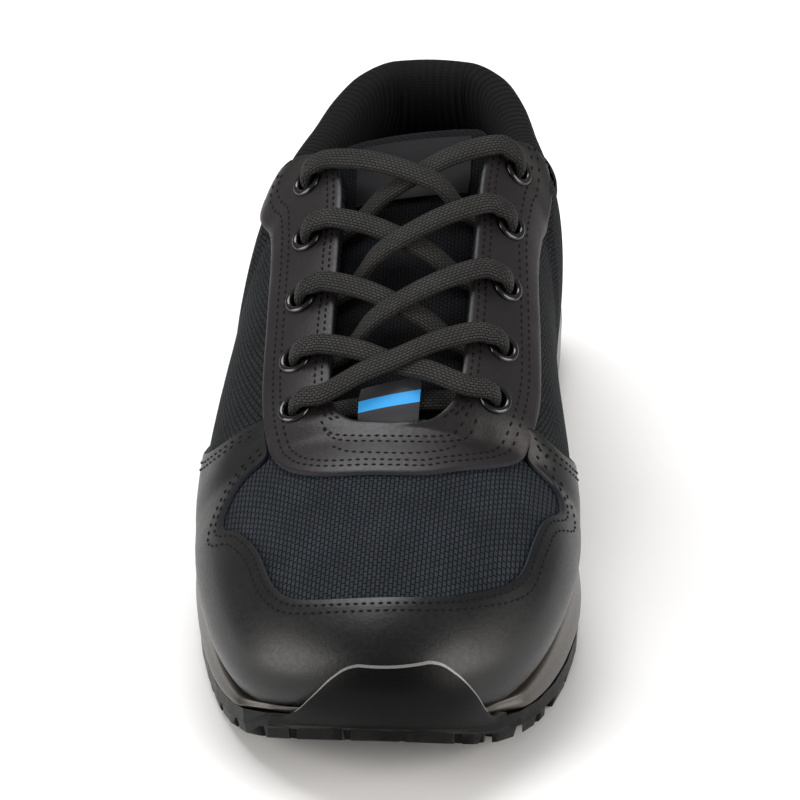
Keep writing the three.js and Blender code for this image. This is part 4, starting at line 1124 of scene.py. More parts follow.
for u in pad_stations:
    near_end = max(0.0, (abs(u) - PAD_END + PAD_THIN) / PAD_THIN)
    full = 0.35 + 0.65 * math.sqrt(max(0.0, 1 - near_end**2))
    lip = 1 - 0.75 * float(smoothstep(LIP_FROM, PAD_END, abs(u)))
    outer_side = 0.55 + (pad_section[:, 0] - 0.55) * np.where(pad_section[:, 0] > 0.55, full * lip, 1)
    out = np.where(pad_section[:, 0] > -1.1, outer_side, -3 + (pad_section[:, 0] + 3) * full)
    rise = pad_section[:, 1] * np.where(pad_section[:, 1] > 0, full, 1)
    down = np.maximum(-rise, 0)
    station = np.full(len(out), u)
    places = on_last(station, below_top(u, down), out)
    tip = last_point(u, 1.0) - last_point(u, POLE)
    places += (tip / np.linalg.norm(tip)) * np.maximum(rise, 0)[:, None]
    rings.append(places)
collar_pad = stack_rings("collar_lining", rings, facing_strip)
smooth(collar_pad, 70)
print("collar pad", len(collar_pad.data.polygons), "faces")

# %% [markdown]
# ## The tongue with its label and tag
# The tongue bridges the throat under the laces. It is a padded sheet with a rolled top, and it is
# described along the throat by one table and across by its distance from the middle, so that the
# label and the tag can lie on it in the same terms. Both are thin sheets with nothing printed on
# them, apart from one plain blue band on the tag.


# %% A point over the throat
def tongue_point(station, beyond, across, height):
    """Across is in mm from the middle. Past the throat's edge the point runs under the upper."""
    across, height = np.broadcast_arrays(np.asarray(across, float), np.asarray(height, float))
    outer, inner = last_point(station, 1.0), last_point(-station, 1.0)
    half = np.linalg.norm(outer - inner) / 2
    share = np.clip(across / half + 1, 0, 2) / 2 if half > 0.01 else np.full(across.shape, 0.5)
    to_outer, to_inner = (1 - share)[..., None], share[..., None]
    normal = unit(last_normal(station, 1.0) * to_outer + last_normal(-station, 1.0) * to_inner)
    arch = 0.1 * half * 4 * share * (1 - share)
    places = outer * to_outer + inner * to_inner + normal * (height + arch)[..., None]
    excess = np.abs(across) - half
    for side in (-1, 1):
        u = -side * station
        under = (excess > 0) & (np.sign(across) == side)
        if under.any():
            places[under] = on_last(np.full(under.sum(), u), below_top(u, excess[under]), height[under])
    middle = [(last_point(at, 1.0) + last_point(-at, 1.0)) / 2 for at in (station, station + NUDGE)]
    onwards = (middle[0] - middle[1]) / np.linalg.norm(middle[0] - middle[1])
    return places + onwards * beyond


# %% Tongue
TONGUE_THICKNESS, TONGUE_EDGE, LACE_THICKNESS = 5.0, 1.8, 3.0
TONGUE = table(
    "station beyond half body sink",
    (0.72, 0.0, 0.19, 0.6, 1.5),
    (0.7, 0.0, 0.2, 0.65, 1.8),
    (0.68, 0.0, 0.215, 0.75, 2.2),
    (0.668, 0.0, 0.23, 0.85, 3.4),
    (0.6535, 0.0, 0.237, 0.95, 4.2),
    (0.61, 0.0, 0.245, 1.0, 4.2),
    (0.57, 0.0, 0.25, 1.0, 4.2),
    (0.535, 0.0, 0.255, 1.0, 4.2),
    (0.512, 0.0, 0.255, 1.0, 4.2),
    (0.512, 0.018, 0.252, 1.08, 3.6),
    (0.512, 0.03, 0.245, 1.1, 3.3),
    (0.512, 0.04, 0.235, 1.0, 3.4),
    (0.512, 0.0465, 0.222, 0.75, 3.8),
    (0.512, 0.049, 0.205, 0.4, 4.4),
)


def down_the_rows(rows, per_row):
    """The rows of a table with smooth steps between them."""
    marked = [{**row, "row": k} for k, row in enumerate(rows)]
    at = np.linspace(0, len(rows) - 1, (len(rows) - 1) * per_row + 1)
    columns = {name: through(marked, "row", name)(at) for name in rows[0]}
    return [{name: values[k] for name, values in columns.items()} for k in range(len(at))]


across_steps = np.sin(np.linspace(-1, 1, 33) * math.pi / 2)
rings = []
for row in down_the_rows(TONGUE, 5):
    half = row["half"] * BALL_WIDTH
    top_height = -UPPER_WALL - row["sink"] - 0.7 * np.abs(across_steps) ** 6
    thick = TONGUE_EDGE + (TONGUE_THICKNESS * row["body"] - TONGUE_EDGE) * (1 - np.abs(across_steps) ** 5)
    at = row["station"], row["beyond"] * LENGTH, across_steps * half
    rings.append(np.vstack([tongue_point(*at, top_height), tongue_point(*at, top_height - thick)[::-1]]))
tongue = stack_rings("tongue_padded", rings, facing_strip)
smooth(tongue, 70)
print("tongue", len(tongue.data.polygons), "faces")


# %% Label and tag
def sheet_on_tongue(name, rows, centre, width, thickness, per_row=6, tilt=0.0):
    """A thin sheet over the tongue. tilt lifts its far edge to one side, as a share of its width."""
    steps = np.linspace(-0.5, 0.5, 17)
    rings = []
    rows = down_the_rows(rows, per_row)
    for k, row in enumerate(rows):
        corner = min(k, len(rows) - 1 - k, 2) / 2
        across = centre + steps * (width - 1.2 * (1 - corner))
        beyond = row["beyond"] * LENGTH
        lift = tilt * width * steps * (k / (len(rows) - 1))
        sides = []
        for level in (row["height"] + thickness, row["height"]):
            places = tongue_point(row["station"], beyond, across, level)
            ahead = tongue_point(row["station"] - NUDGE, beyond, across, level) - places
            sides.append(places + unit(ahead) * lift[:, None])
        rings.append(np.vstack([sides[0], sides[1][::-1]]))
    piece = stack_rings(name, rings, facing_strip)
    smooth(piece, 50)
    print(name, len(piece.data.polygons), "faces")
    return piece


LABEL = table(
    "station beyond height",
    (0.53, 0.0, -6.0),
    (0.512, 0.0, -6.0),
    (0.512, 0.018, -5.4),
    (0.512, 0.033, -5.1),
)
TAG = table(
    "station beyond height",
    (0.674, 0.0, -4.1),
    (0.668, 0.0, -4.0),
    (0.6615, 0.0, -3.7),
    (0.6535, 0.0, -2.6),
    (0.639, 0.0, -1.6),
)
label = sheet_on_tongue("tongue_patch", LABEL, centre=0.0, width=38.0, thickness=0.9)
tag = sheet_on_tongue("throat_tab", TAG, centre=-1.5, width=17.8, thickness=1.0, tilt=0.16)

# %% [markdown]
# ## Eyelets
# An eyelet is an enamelled steel ring. Its flange is rolled over the leather and its barrel goes
# through the wall. One ring is turned out of a torus and a tube and copied to each of the ten holes,
# which are cut through the leather and the textile first.

# %% Eyelet places
EYELET_PAIRS, EYELET_FROM_EDGE = 5, 10.8
FIRST_PAIR, LAST_PAIR = 0.648, 0.51


def station_of(pair):
    """The station of a pair, counted from the toe."""
    return FIRST_PAIR + (LAST_PAIR - FIRST_PAIR) * pair / (EYELET_PAIRS - 1)


eyelet_places = []
for pair in range(EYELET_PAIRS):
    for side in (1, -1):
        u = side * station_of(pair)
        r = float(below_top(u, EYELET_FROM_EDGE))
        centre = in_metres(on_last(u, r, CLEARANCE + LEATHER))
        eyelet_places.append({"pair": pair, "side": side, "centre": centre, "normal": last_normal(u, r)})


def turned_to(place, piece):
    """Stands a piece that was made upright at the origin on an eyelet's place."""
    turn = Vector((0, 0, 1)).rotation_difference(Vector(place["normal"])).to_matrix().to_4x4()
    turn.translation = Vector(place["centre"])
    piece.data.transform(turn)


def join(name, pieces):
    """Joins pieces into one."""
    work_on(pieces[0])
    for piece in pieces:
        piece.select_set(True)
    bpy.ops.object.join()
    joined = bpy.context.object
    joined.name = name
    return joined


# %% Holes
HOLE_RADIUS, DRILL_LENGTH = 3.65 * MM, 14 * MM
drills = []
for place in eyelet_places:
    start_clean()
    bpy.ops.mesh.primitive_cylinder_add(vertices=24, radius=HOLE_RADIUS, depth=DRILL_LENGTH)
    turned_to(place, bpy.context.object)
    drills.append(bpy.context.object)
drill = join("hole_punch", drills)
for wall in (eyestay, upper):
    before = len(wall.data.polygons)
    cut = {"operation": "DIFFERENCE", "object": drill, "solver": "EXACT", "use_self": wall is eyestay}
    finish_modifier(wall, "BOOLEAN", **cut)
    print(wall.name, before, "->", len(wall.data.polygons), "faces after punching")
bpy.data.objects.remove(drill)

# %% Rings
RING_RADIUS, RING_ROLL, RING_FLATNESS, RING_LIFT = 4.05 * MM, 1.0 * MM, 0.85, 0.45 * MM
BARREL_RADIUS, BARREL_LENGTH, BARREL_DROP, BARREL_WALL = 3.4 * MM, 5 * MM, 2.2 * MM, 0.3 * MM
start_clean()
bpy.ops.mesh.primitive_torus_add(
    major_segments=40, minor_segments=14, major_radius=RING_RADIUS, minor_radius=RING_ROLL
)
flange = bpy.context.object
flange.data.transform(((1, 0, 0, 0), (0, 1, 0, 0), (0, 0, RING_FLATNESS, RING_LIFT), (0, 0, 0, 1)))
start_clean()
bpy.ops.mesh.primitive_cylinder_add(
    vertices=40,
    radius=BARREL_RADIUS,
    depth=BARREL_LENGTH,
    end_fill_type="NOTHING",
    location=(0, 0, -BARREL_DROP),
)
barrel = bpy.context.object
bpy.ops.object.transform_apply(location=True)
finish_modifier(barrel, "SOLIDIFY", thickness=BARREL_WALL, offset=-1.0)
ring_model = join("eyelet_ring", [flange, barrel])
smooth(ring_model, 60)
eyelets = []
for place in eyelet_places:
    side_name = "lateral" if place["side"] > 0 else "medial"
    ring = bpy.data.objects.new(f"ring_{side_name}_{place['pair'] + 1}", ring_model.data.copy())
    bpy.context.collection.objects.link(ring)
    turned_to(place, ring)
    eyelets.append((ring, f"eyelet_{side_name}_{place['pair'] + 1}"))
bpy.data.objects.remove(ring_model)
print("eyelets", len(eyelets), "of", len(eyelets[0][0].data.polygons), "faces")

# %% [markdown]
# ## The lace
# The lace is one flat braided strand. It starts as a bar under the lowest pair of holes, comes up
# through both, and crosses to the next pair again and again, entering each hole from above and coming
# out from under the edge of the eyestay. Its two ends stop under the wall at the top pair. One curve
# is led through those stops, and a rounded flat section is carried along it, folded a little
# narrower where it passes a hole.

# %% Stops on the way of the lace
LACE_WIDTH, HOLE_WIDTH, HOLE_THICKNESS = 6.6, 4.5, 3.3
LACE_LOW, OVER_RING, OVER_EDGE, CROSSING = -4.3, 4.7, 4.3, 2.0
LIFT = LACE_THICKNESS - 0.2


def by_hole(pair, side, from_edge, height):
    """A place beside the throat, in line with a pair of holes."""
    u = side * station_of(pair)
    return on_last(u, float(below_top(u, from_edge)), height)


def over_throat(start, end, share, height):
    """A place over the throat, a share of the way from one hole to another."""
    station = station_of(start[0]) + (station_of(end[0]) - station_of(start[0])) * share
    half = np.linalg.norm(last_point(station, 1.0) - last_point(-station, 1.0)) / 2
    across = (-start[1] + (start[1] - end[1]) * share) * half
    return tongue_point(station, 0.0, across, height)


def through_hole(pair, side):
    """Stops from above a hole down through it, each with its share of the full width."""
    return [
        (by_hole(pair, side, EYELET_FROM_EDGE - 5.6, OVER_RING), 1.0),
        (by_hole(pair, side, EYELET_FROM_EDGE - 2.6, OVER_RING - 0.1), 0.6),
        (by_hole(pair, side, EYELET_FROM_EDGE - 0.2, 2.2), 0.0),
        (by_hole(pair, side, EYELET_FROM_EDGE + 0.3, -2.2), 0.0),
    ]


def crossing(pair, side, lift):
    """Stops from a pair to the other side of the next pair."""
    start, end = (pair, side), (pair + 1, -side)
    if pair == 0:
        stops = through_hole(pair, side)[::-1] + [(by_hole(pair, side, 2.2, OVER_EDGE + 0.2), 1.0)]
        stops += [(over_throat(start, end, 0.27, OVER_EDGE - 0.6 + lift * 0.6), 1.0)]
    else:
        stops = [
            (by_hole(pair, side, 4.5, LACE_LOW), 1.0),
            (over_throat(start, end, 0.1, LACE_LOW + 0.6), 1.0),
            (over_throat(start, end, 0.3, LACE_LOW + 4.2 + lift), 1.0),
        ]
    stops += [
        (over_throat(start, end, 0.5, CROSSING + lift), 1.0),
        (over_throat(start, end, 0.78, CROSSING + 1.8 + lift / 2), 1.0),
        (by_hole(*end, 2.4, OVER_EDGE), 1.0),
    ]
    return stops + through_hole(*end)


def lace_half(side):
    """All stops from the bar to the hidden end, for the strand that starts on one side."""
    stops = [(by_hole(0, side, 7.5, LACE_LOW - 0.6), 0.4)]
    for pair in range(EYELET_PAIRS - 1):
        lateral_on_top = pair + 2 < EYELET_PAIRS
        lift = LIFT if (side > 0) == lateral_on_top else 0.0
        stops += crossing(pair, side, lift)
        if pair + 2 < EYELET_PAIRS:
            stops += [(by_hole(pair + 1, -side, EYELET_FROM_EDGE - 1.8, LACE_LOW - 0.4), 0.4)]
        side = -side
    last = (EYELET_PAIRS - 1, side)
    stops += [(by_hole(*last, 8.6, LACE_LOW - 0.9), 0.5), (by_hole(*last, 4.0, LACE_LOW - 0.9), 1.0)]
    return stops


bar = [(over_throat((0, 1), (0, -1), share, LACE_LOW), 1.0) for share in (0.1, 0.35, 0.65, 0.9)]
bar = [(by_hole(0, 1, 4.0, LACE_LOW), 1.0)] + bar + [(by_hole(0, -1, 4.0, LACE_LOW), 1.0)]
stops = lace_half(1)[::-1] + bar + lace_half(-1)
print("lace stops", len(stops))

# %% The braid along the stops
STEP_ALONG = 1.3
LACE_POINTS = 18


def even_path(stops, step):
    """A smooth path through the stops, at even steps, with the width at each."""
    places = np.array([stop[0] for stop in stops])
    widths = np.array([stop[1] for stop in stops])
    knots = np.concatenate([[0], np.cumsum(np.sqrt(np.linalg.norm(np.diff(places, axis=0), axis=1)))])
    tangent = np.gradient(places, knots, axis=0)
    path, shares = [], []
    for k in range(len(places) - 1):
        gap = knots[k + 1] - knots[k]
        s = np.linspace(0, 1, 40, endpoint=False)[:, None]
        path.append(
            places[k] * (1 + 2 * s) * (1 - s) ** 2
            + tangent[k] * gap * s * (1 - s) ** 2
            + places[k + 1] * s * s * (3 - 2 * s)
            - tangent[k + 1] * gap * s * s * (1 - s)
        )
        shares.append(widths[k] + (widths[k + 1] - widths[k]) * smoothstep(0, 1, s[:, 0]))
    path, shares = np.vstack(path + [places[-1:]]), np.concatenate(shares + [widths[-1:]])
    walked = steps_walked(path)
    even = np.linspace(0, walked[-1], int(walked[-1] / step) + 1)
    return read_at(even, walked, path), np.interp(even, walked, shares), walked[-1]


path, shares, lace_length = even_path(stops, STEP_ALONG)
ahead = unit(np.gradient(path, axis=0))
throat_top, throat_foot = (last_point(at, 1.0) + last_point(-at, 1.0) for at in (0.5, 0.65))
up_the_throat = unit(throat_top - throat_foot)
beside = unit(up_the_throat - ahead * (ahead @ up_the_throat)[:, None])
above = np.cross(ahead, beside)
angle = np.arange(LACE_POINTS) / LACE_POINTS * 2 * math.pi
wide_round = np.sign(np.cos(angle)) * np.abs(np.cos(angle)) ** 0.8
thick_round = np.sign(np.sin(angle)) * np.abs(np.sin(angle)) ** 0.7
width = HOLE_WIDTH + (LACE_WIDTH - HOLE_WIDTH) * shares
thick = HOLE_THICKNESS + (LACE_THICKNESS - HOLE_THICKNESS) * shares
rings = (
    path[:, None]
    + beside[:, None] * (width[:, None] / 2 * wide_round)[..., None]
    + above[:, None] * (thick[:, None] / 2 * thick_round)[..., None]
)
lace = stack_rings("lace_braid", rings, facing_loop)
smooth(lace, 60)
print("lace length", round(lace_length), "mm,", len(lace.data.polygons), "faces")

# %% [markdown]
# ## Creases
# Even a new shoe has a few soft folds: where the vamp will bend, where the laces pull on the eyestay
# and where the quarter gives at the ankle. Each is drawn as a short line on the shoe with a depth
# and a width. All layers sink and rise together there, so that none comes through another.

# %% Creases
FADE_FROM, FADE_TO = 22, 42
# Each row holds a line in plan, a depth and a half width in mm. A depth below zero is a ridge.
CREASES = [
    ([(-40, -66), (-18, -71), (8, -71.5), (30, -67)], 0.5, 4.0),
    ([(-38, -78), (-14, -82.5), (12, -83), (36, -78)], -0.35, 5.0),
    ([(-34, -92), (-10, -96.5), (14, -97), (36, -91)], 0.35, 6.0),
    ([(-48, -50), (-53, -62), (-50, -74)], 0.5, 6.0),
    ([(47, -46), (53, -58), (52, -70)], 0.5, 6.0),
    ([(-22, -24), (-30, -26), (-38, -24)], 0.45, 4.0),
    ([(26, -22), (34, -24), (42, -22)], 0.45, 4.0),
    ([(-22, -2), (-31, -4), (-38, -2)], 0.4, 4.0),
    ([(27, 0), (35, -2), (42, 0)], 0.4, 4.0),
]


def soften(piece, creases=CREASES):
    """Moves a piece's corners down into troughs and up on ridges, whatever layer they belong to."""
    places = corners(piece)
    flat = places[:, :2] / MM - TO_FRAME[:2]
    fade = smoothstep(FADE_FROM, FADE_TO, places[:, 2] / MM)
    for line, depth, half_width in creases:
        line = spline(line, 8)
        gap = np.sqrt(((flat[:, None] - line[None]) ** 2).sum(2)).min(1)
        places[:, 2] -= depth * MM * np.exp(-((gap / half_width) ** 2)) * fade
    lay(piece, places)


for piece in (upper, eyestay, toe_cap):
    soften(piece)
print("creases", len(CREASES))

# %% [markdown]
# ## Stitches
# Two rows of thread hold every edge of the leather. The rows are offset copies of the outlines that cut
# the leather, walked at even steps and dropped on to its surface. A stitch is one small rounded bar
# whose ends dip into the leather. A thousand copies are joined into one mesh, which stays light.

# %% Stitch rows
PITCH, STITCH, THREAD = 2.3 * MM, 1.8 * MM, 0.78 * MM
rows_of_stitches = []


def offset_line(line, distance):
    """Shifts an open line in its own plane, to its left."""
    step = unit(np.gradient(line, axis=0))
    return line + np.stack([-step[:, 1], step[:, 0]], -1) * distance


def walk(places, pitch=PITCH):
    """Even steps along a line: the middle of each step and its direction."""
    walked = steps_walked(places)
    marks = np.arange(pitch / 2, walked[-1], pitch)
    behind, here, ahead = (read_at(marks + gap, walked, places) for gap in (-0.1 * MM, 0, 0.1 * MM))
    return here, ahead - behind


def skin_of(piece):
    """A piece's surface, ready for rays."""
    mesh = bmesh.new()
    mesh.from_mesh(piece.data)
    tree = BVHTree.FromBMesh(mesh)
    mesh.free()
    return tree


def drop(piece, line, view, side=1, pitch=PITCH):
    """Drops a line, drawn in plan or in side view, on to a piece and keeps the stitches that land."""
    skin = skin_of(piece)
    spots, _ = walk(line, pitch / 3)
    landed = []
    for spot in spots:
        start, way = [0.0] * 3, [0.0] * 3
        start[view[0]], start[view[1]], start[view[2]] = spot[0], spot[1], 0.3 * side
        way[view[2]] = -side
        hit, normal, _, _ = skin.ray_cast(Vector(start), Vector(way))
        landed.append((np.array(hit), np.array(normal)) if hit is not None else None)
    for k in range(1, len(landed) - 1, 3):
        if all(landed[k + d] is not None for d in (-1, 0, 1)):
            ahead = landed[k + 1][0] - landed[k - 1][0]
            if np.linalg.norm(ahead) < 2 * pitch:
                rows_of_stitches.append((*landed[k], ahead))


def on_the_last(line, height, pitch=PITCH):
    """Stitches along points of the last that are already known, given with their normals."""
    places, normals = line
    middles, ahead = walk(in_metres(places + normals * height), pitch)
    outward = read_at(np.linspace(0, 1, len(middles)), np.linspace(0, 1, len(normals)), normals)
    rows_of_stitches.extend(zip(middles, outward, ahead))


def throat_row(from_edge, start, end, side):
    """A line a set distance from the throat's edge, with its normals."""
    stations = side * np.linspace(start, end, 60)
    r = np.array([float(below_top(u, from_edge)) for u in stations])
    return on_last(stations, r, 0.0), last_normal(stations, r)


# %% Rows on the eyestay
OUTER_ROWS, THROAT_ROWS, THROAT_SPAN = (2.3, 4.4), (2.2, 4.2), (0.502, 0.665)
STAY_TOP = CLEARANCE + LEATHER + 0.02
stay_edge = plan_metres(eyestay_line())
for distance in OUTER_ROWS:
    drop(eyestay, offset_line(stay_edge, distance * MM), PLAN)
for side in (1, -1):
    for distance in THROAT_ROWS:
        on_the_last(throat_row(distance, *THROAT_SPAN, side), STAY_TOP)
print("stitches on the eyestay", len(rows_of_stitches))

# %% Rows under the throat
throat_end = along_to_y(float(rib["along"](THROAT_END)))
THROAT_MIDDLE = 3.5
UNDER_THROAT = [
    [(-20.5, 2.0), (-17.0, -2.6), (-9.0, -4.9), (3.0, -5.0), (13.0, -3.2), (19.5, 0.6), (23.0, 6.0)],
    [(-19.8, -0.4), (-15.5, -5.0), (-8.5, -7.1), (3.5, -7.2), (14.0, -5.2), (21.5, -0.8), (25.2, 5.0)],
    [(-16.5, -7.8), (-11.5, -11.2), (-4.0, -12.4), (6.0, -12.1), (14.0, -9.4), (19.0, -5.2)],
]
for row in UNDER_THROAT:
    drop(eyestay, plan_metres(spline([(x + THROAT_MIDDLE, throat_end + y) for x, y in row])), PLAN)

# %% Rows on the toe cap, its sides and the heel counter
CAP_ROWS = (2.4, 4.4)
window_edge = plan_metres(window_line)
for distance in CAP_ROWS:
    drop(toe_cap, offset_line(window_edge, -distance * MM), PLAN)
side_edge, counter_edge = side_metres(side_line(SIDE_EDGE)), side_metres(side_line(COUNTER_EDGE))
for side in (1, -1):
    for distance in CAP_ROWS:
        drop(toe_cap, offset_line(side_edge, -distance * MM), SIDE, side)
        drop(counter, offset_line(counter_edge, -distance * MM), SIDE, side)
print("stitches", len(rows_of_stitches))

# %% One row round the collar
COLLAR_END, COLLAR_ROW, COLLAR_PITCH = 0.466, 7.2, 2.6 * MM
collar_run = np.concatenate([-np.linspace(COLLAR_END, 0.004, 120), np.linspace(0.0, COLLAR_END, 120)])
collar_r = np.array([float(below_top(u, COLLAR_ROW)) for u in collar_run])
collar_line = on_last(collar_run, collar_r, 0.0), last_normal(collar_run, collar_r)
on_the_last(collar_line, 0.02, COLLAR_PITCH)
print("stitches with the collar", len(rows_of_stitches))


# %% One stitch, copied to every place
def stitch_mesh(name, places):
    """One mesh of rounded bars, each at its place."""
    start_clean()
    bpy.ops.mesh.primitive_uv_sphere_add(segments=6, ring_count=4, radius=0.5)
    model = bpy.context.object
    shape = corners(model)
    faces = [tuple(face.vertices) for face in model.data.polygons]
    bpy.data.objects.remove(model)
    points = []
    for middle, normal, ahead in places:
        ahead = unit(ahead - normal * float(ahead @ normal))
        beside = np.cross(ahead, normal)
        dip = -0.02 * MM - 0.45 * MM * (2 * shape[:, 2]) ** 4
        points.append(
            middle
            + np.outer(shape[:, 2] * STITCH, ahead)
            + np.outer(shape[:, 0] * THREAD, beside)
            + np.outer(shape[:, 1] * THREAD + dip, normal)
        )
    data = bpy.data.meshes.new(name)
    all_faces = [tuple(v + k * len(shape) for v in face) for k in range(len(places)) for face in faces]
    data.from_pydata(np.vstack(points), [], all_faces)
    piece = bpy.data.objects.new(name, data)
    bpy.context.collection.objects.link(piece)
    edit_all(piece, bpy.ops.mesh.normals_make_consistent, inside=False)
    bpy.ops.object.shade_smooth()
    return piece


stitches = stitch_mesh("stitches", rows_of_stitches)
print("stitch mesh", len(stitches.data.polygons), "faces")

# %% [markdown]
# ## Finishes
# Every finish starts from what the real one is. Three patterns do most of the work. Leather has a fine
# closed grain and slow changes of gloss. Cloth and braid are rows of short threads, which a brick
# pattern draws well once its courses are as fine as yarn. Foam and rubber have a skin that a mould
# left slightly rough. The patterns are set in millimetres, because that is how cloth is measured.


# %% Pattern helpers
def in_mm(tree, layer=None, turned=0.0):
    """Places in millimetres, from the object or from one of its maps, turned by some degrees."""
    if layer:
        source = node(tree, "ShaderNodeUVMap", uv_map=layer).outputs["UV"]
    else:
        source = node(tree, "ShaderNodeTexCoord").outputs["Object"]
    links = {"Vector": source, "Scale": (1 / MM,) * 3, "Rotation": (0, 0, math.radians(turned))}
    return node(tree, "ShaderNodeMapping", links).outputs[0]


def ranged(tree, value, low, high, start=0.0, end=1.0):
    """Carries a value from one range to another."""
    links = {"Value": value, "From Min": start, "From Max": end, "To Min": low, "To Max": high}
    return node(tree, "ShaderNodeMapRange", links).outputs[0]


def noise(tree, place, scale, detail=2.0):
    """Soft noise. The scale is in waves a millimetre."""
    links = {"Vector": place, "Scale": scale, "Detail": detail}
    return node(tree, "ShaderNodeTexNoise", links).outputs["Fac"]


def blend_colours(tree, share, first, second):
    """A colour between two."""
    links = {"Fac": share, "Color1": first, "Color2": second}
    return node(tree, "ShaderNodeMixRGB", links, blend_type="MIX").outputs[0]


def paint(tree, surface, share, first, second):
    """Paints a surface between two swatches."""
    colour = blend_colours(tree, share, swatch(first), swatch(second))
    tree.links.new(colour, surface.inputs["Base Color"])


def reckon(tree, how, first, second):
    """One sum."""
    return node(tree, "ShaderNodeMath", {0: first, 1: second}, operation=how).outputs[0]


def emboss(tree, surface, height, depth_mm):
    """Raises a pattern by a depth in millimetres."""
    bump = node(tree, "ShaderNodeBump", {"Height": height, "Distance": depth_mm * MM, "Strength": 1.0})
    tree.links.new(bump.outputs["Normal"], surface.inputs["Normal"])


# %% Leather, and its cut edge
PORE = 0.9


def leather(name, dark, light, gloss, grain_depth=0.018):
    """Corrected full-grain leather: fine pores and a satin finish that is a little uneven."""
    finish, tree, surface = new_finish(name, 0.42, 0.33)
    place = in_mm(tree)
    pores = node(tree, "ShaderNodeTexVoronoi", {"Vector": place, "Scale": 1 / PORE}).outputs["Distance"]
    creases, clouds = noise(tree, place, 0.8, 3.0), noise(tree, place, 0.03)
    paint(tree, surface, ranged(tree, clouds, 0, 1, 0.35, 0.65), dark, light)
    slow = ranged(tree, clouds, -0.04, 0.04, 0.3, 0.7)
    fine = ranged(tree, creases, gloss - 0.04, gloss + 0.05, 0.3, 0.7)
    tree.links.new(reckon(tree, "ADD", slow, fine), surface.inputs["Roughness"])
    emboss(tree, surface, reckon(tree, "ADD", pores, reckon(tree, "MULTIPLY", creases, 0.8)), grain_depth)
    return finish


cap_leather = leather("satin_toe_leather", "#08090a", "#0d0e0e", 0.37)
stay_leather = leather("satin_stay_leather", "#141012", "#191416", 0.43, 0.025)

cut_edge, tree, surface = new_finish("cut_leather_edge", 0.7, 0.4)
fibres = noise(tree, in_mm(tree), 2.2, 3.0)
paint(tree, surface, fibres, "#15181d", "#343a45")
emboss(tree, surface, fibres, 0.15)


# %% Cloth, braid and knit
def cloth(name, layer, yarn, gap, length, row, depth, turned=0.0, roughness=0.8, pleat=0.0):
    """Rows of short yarns. length and row are the size of one visible yarn in mm. pleat is the distance
    between pleats in mm, where the cloth has them."""
    finish, tree, surface = new_finish(name, roughness, 0.1, Sheen_Weight=0.01, Sheen_Roughness=0.5)
    place = in_mm(tree, layer, turned)
    links = {"Vector": place, "Scale": 1.0, "Brick Width": length, "Row Height": row}
    links.update({"Mortar Size": row * 0.2, "Mortar Smooth": 0.9})
    links.update({"Color1": (0.75, 0.75, 0.75, 1), "Color2": (1, 1, 1, 1), "Mortar": (0, 0, 0, 1)})
    bricks = node(tree, "ShaderNodeTexBrick", links, offset=0.5)
    shade = ranged(tree, noise(tree, place, 0.08, 3.0), 0.75, 1.1, 0.3, 0.7)
    paint(tree, surface, reckon(tree, "MULTIPLY", bricks.outputs["Color"], shade), gap, yarn)
    height = bricks.outputs["Color"]
    if pleat:
        links = {"Vector": in_mm(tree, layer), "Scale": 0.314 / pleat, "Distortion": 0.3, "Detail": 1.0}
        folds = node(tree, "ShaderNodeTexWave", links, bands_direction="X").outputs["Fac"]
        height = reckon(tree, "ADD", reckon(tree, "MULTIPLY", folds, 3.0), height)
    emboss(tree, surface, height, depth)
    return finish


vamp_mesh = cloth("vamp_mesh", "weave", "#2b3036", "#020303", 1.9, 1.2, 0.45, turned=90)
quarter_cloth = cloth("ribbed_quarter_cloth", "weave", "#1c1f22", "#020202", 2.4, 1.25, 0.5)
inner_cloth = cloth("inner_cloth", "weave", "#18191b", "#08080a", 1.6, 1.2, 0.2)
pad_cloth = cloth("pleated_collar_cloth", "run", "#141517", "#040405", 1.2, 0.9, 0.16, pleat=2.7)
tongue_knit = cloth("tongue_knit", "run", "#14161a", "#020203", 1.5, 1.1, 0.4)
footbed_cloth = cloth("footbed_cloth", "run", "#1f2022", "#0a0a0b", 1.2, 1.0, 0.2)
lace_yarn = cloth("braided_polyester", "run", "#373736", "#020202", 1.4, 0.9, 0.4, roughness=0.58)
patch_cloth = cloth("satin_patch", "run", "#17161a", "#0a0a0c", 0.9, 0.45, 0.06, roughness=0.5)


# %% Foam, rubber, enamel and thread
def moulded(name, colour, second, roughness, specular, skin_mm, depth):
    """A moulded skin: one colour that drifts a little, and a fine even roughness from the mould."""
    finish, tree, surface = new_finish(name, roughness, specular)
    place = in_mm(tree)
    clouds, skin = noise(tree, place, 0.025, 3.0), noise(tree, place, 1 / skin_mm)
    paint(tree, surface, ranged(tree, clouds, 0, 1, 0.35, 0.65), colour, second)
    uneven = ranged(tree, skin, roughness - 0.05, roughness + 0.07, 0.3, 0.7)
    tree.links.new(uneven, surface.inputs["Roughness"])
    emboss(tree, surface, skin, depth)
    return finish


foam = moulded("moulded_eva_foam", "#2c2824", "#37322d", 0.36, 0.5, 0.7, 0.03)
rubber = moulded("moulded_rubber", "#030303", "#060606", 0.38, 0.1, 0.9, 0.03)
# A lighter, glossier rubber for the bumper's rim: a painted highlight.
rim_painted_highlight = moulded("rim_painted_highlight", "#4a4a49", "#6a6a68", 0.3, 0.6, 0.9, 0.04)
enamel = moulded("black_enamel", "#060607", "#0a0a0b", 0.13, 0.6, 1.5, 0.01)
thread = moulded("waxed_thread", "#020202", "#050505", 0.6, 0.15, 0.4, 0.03)

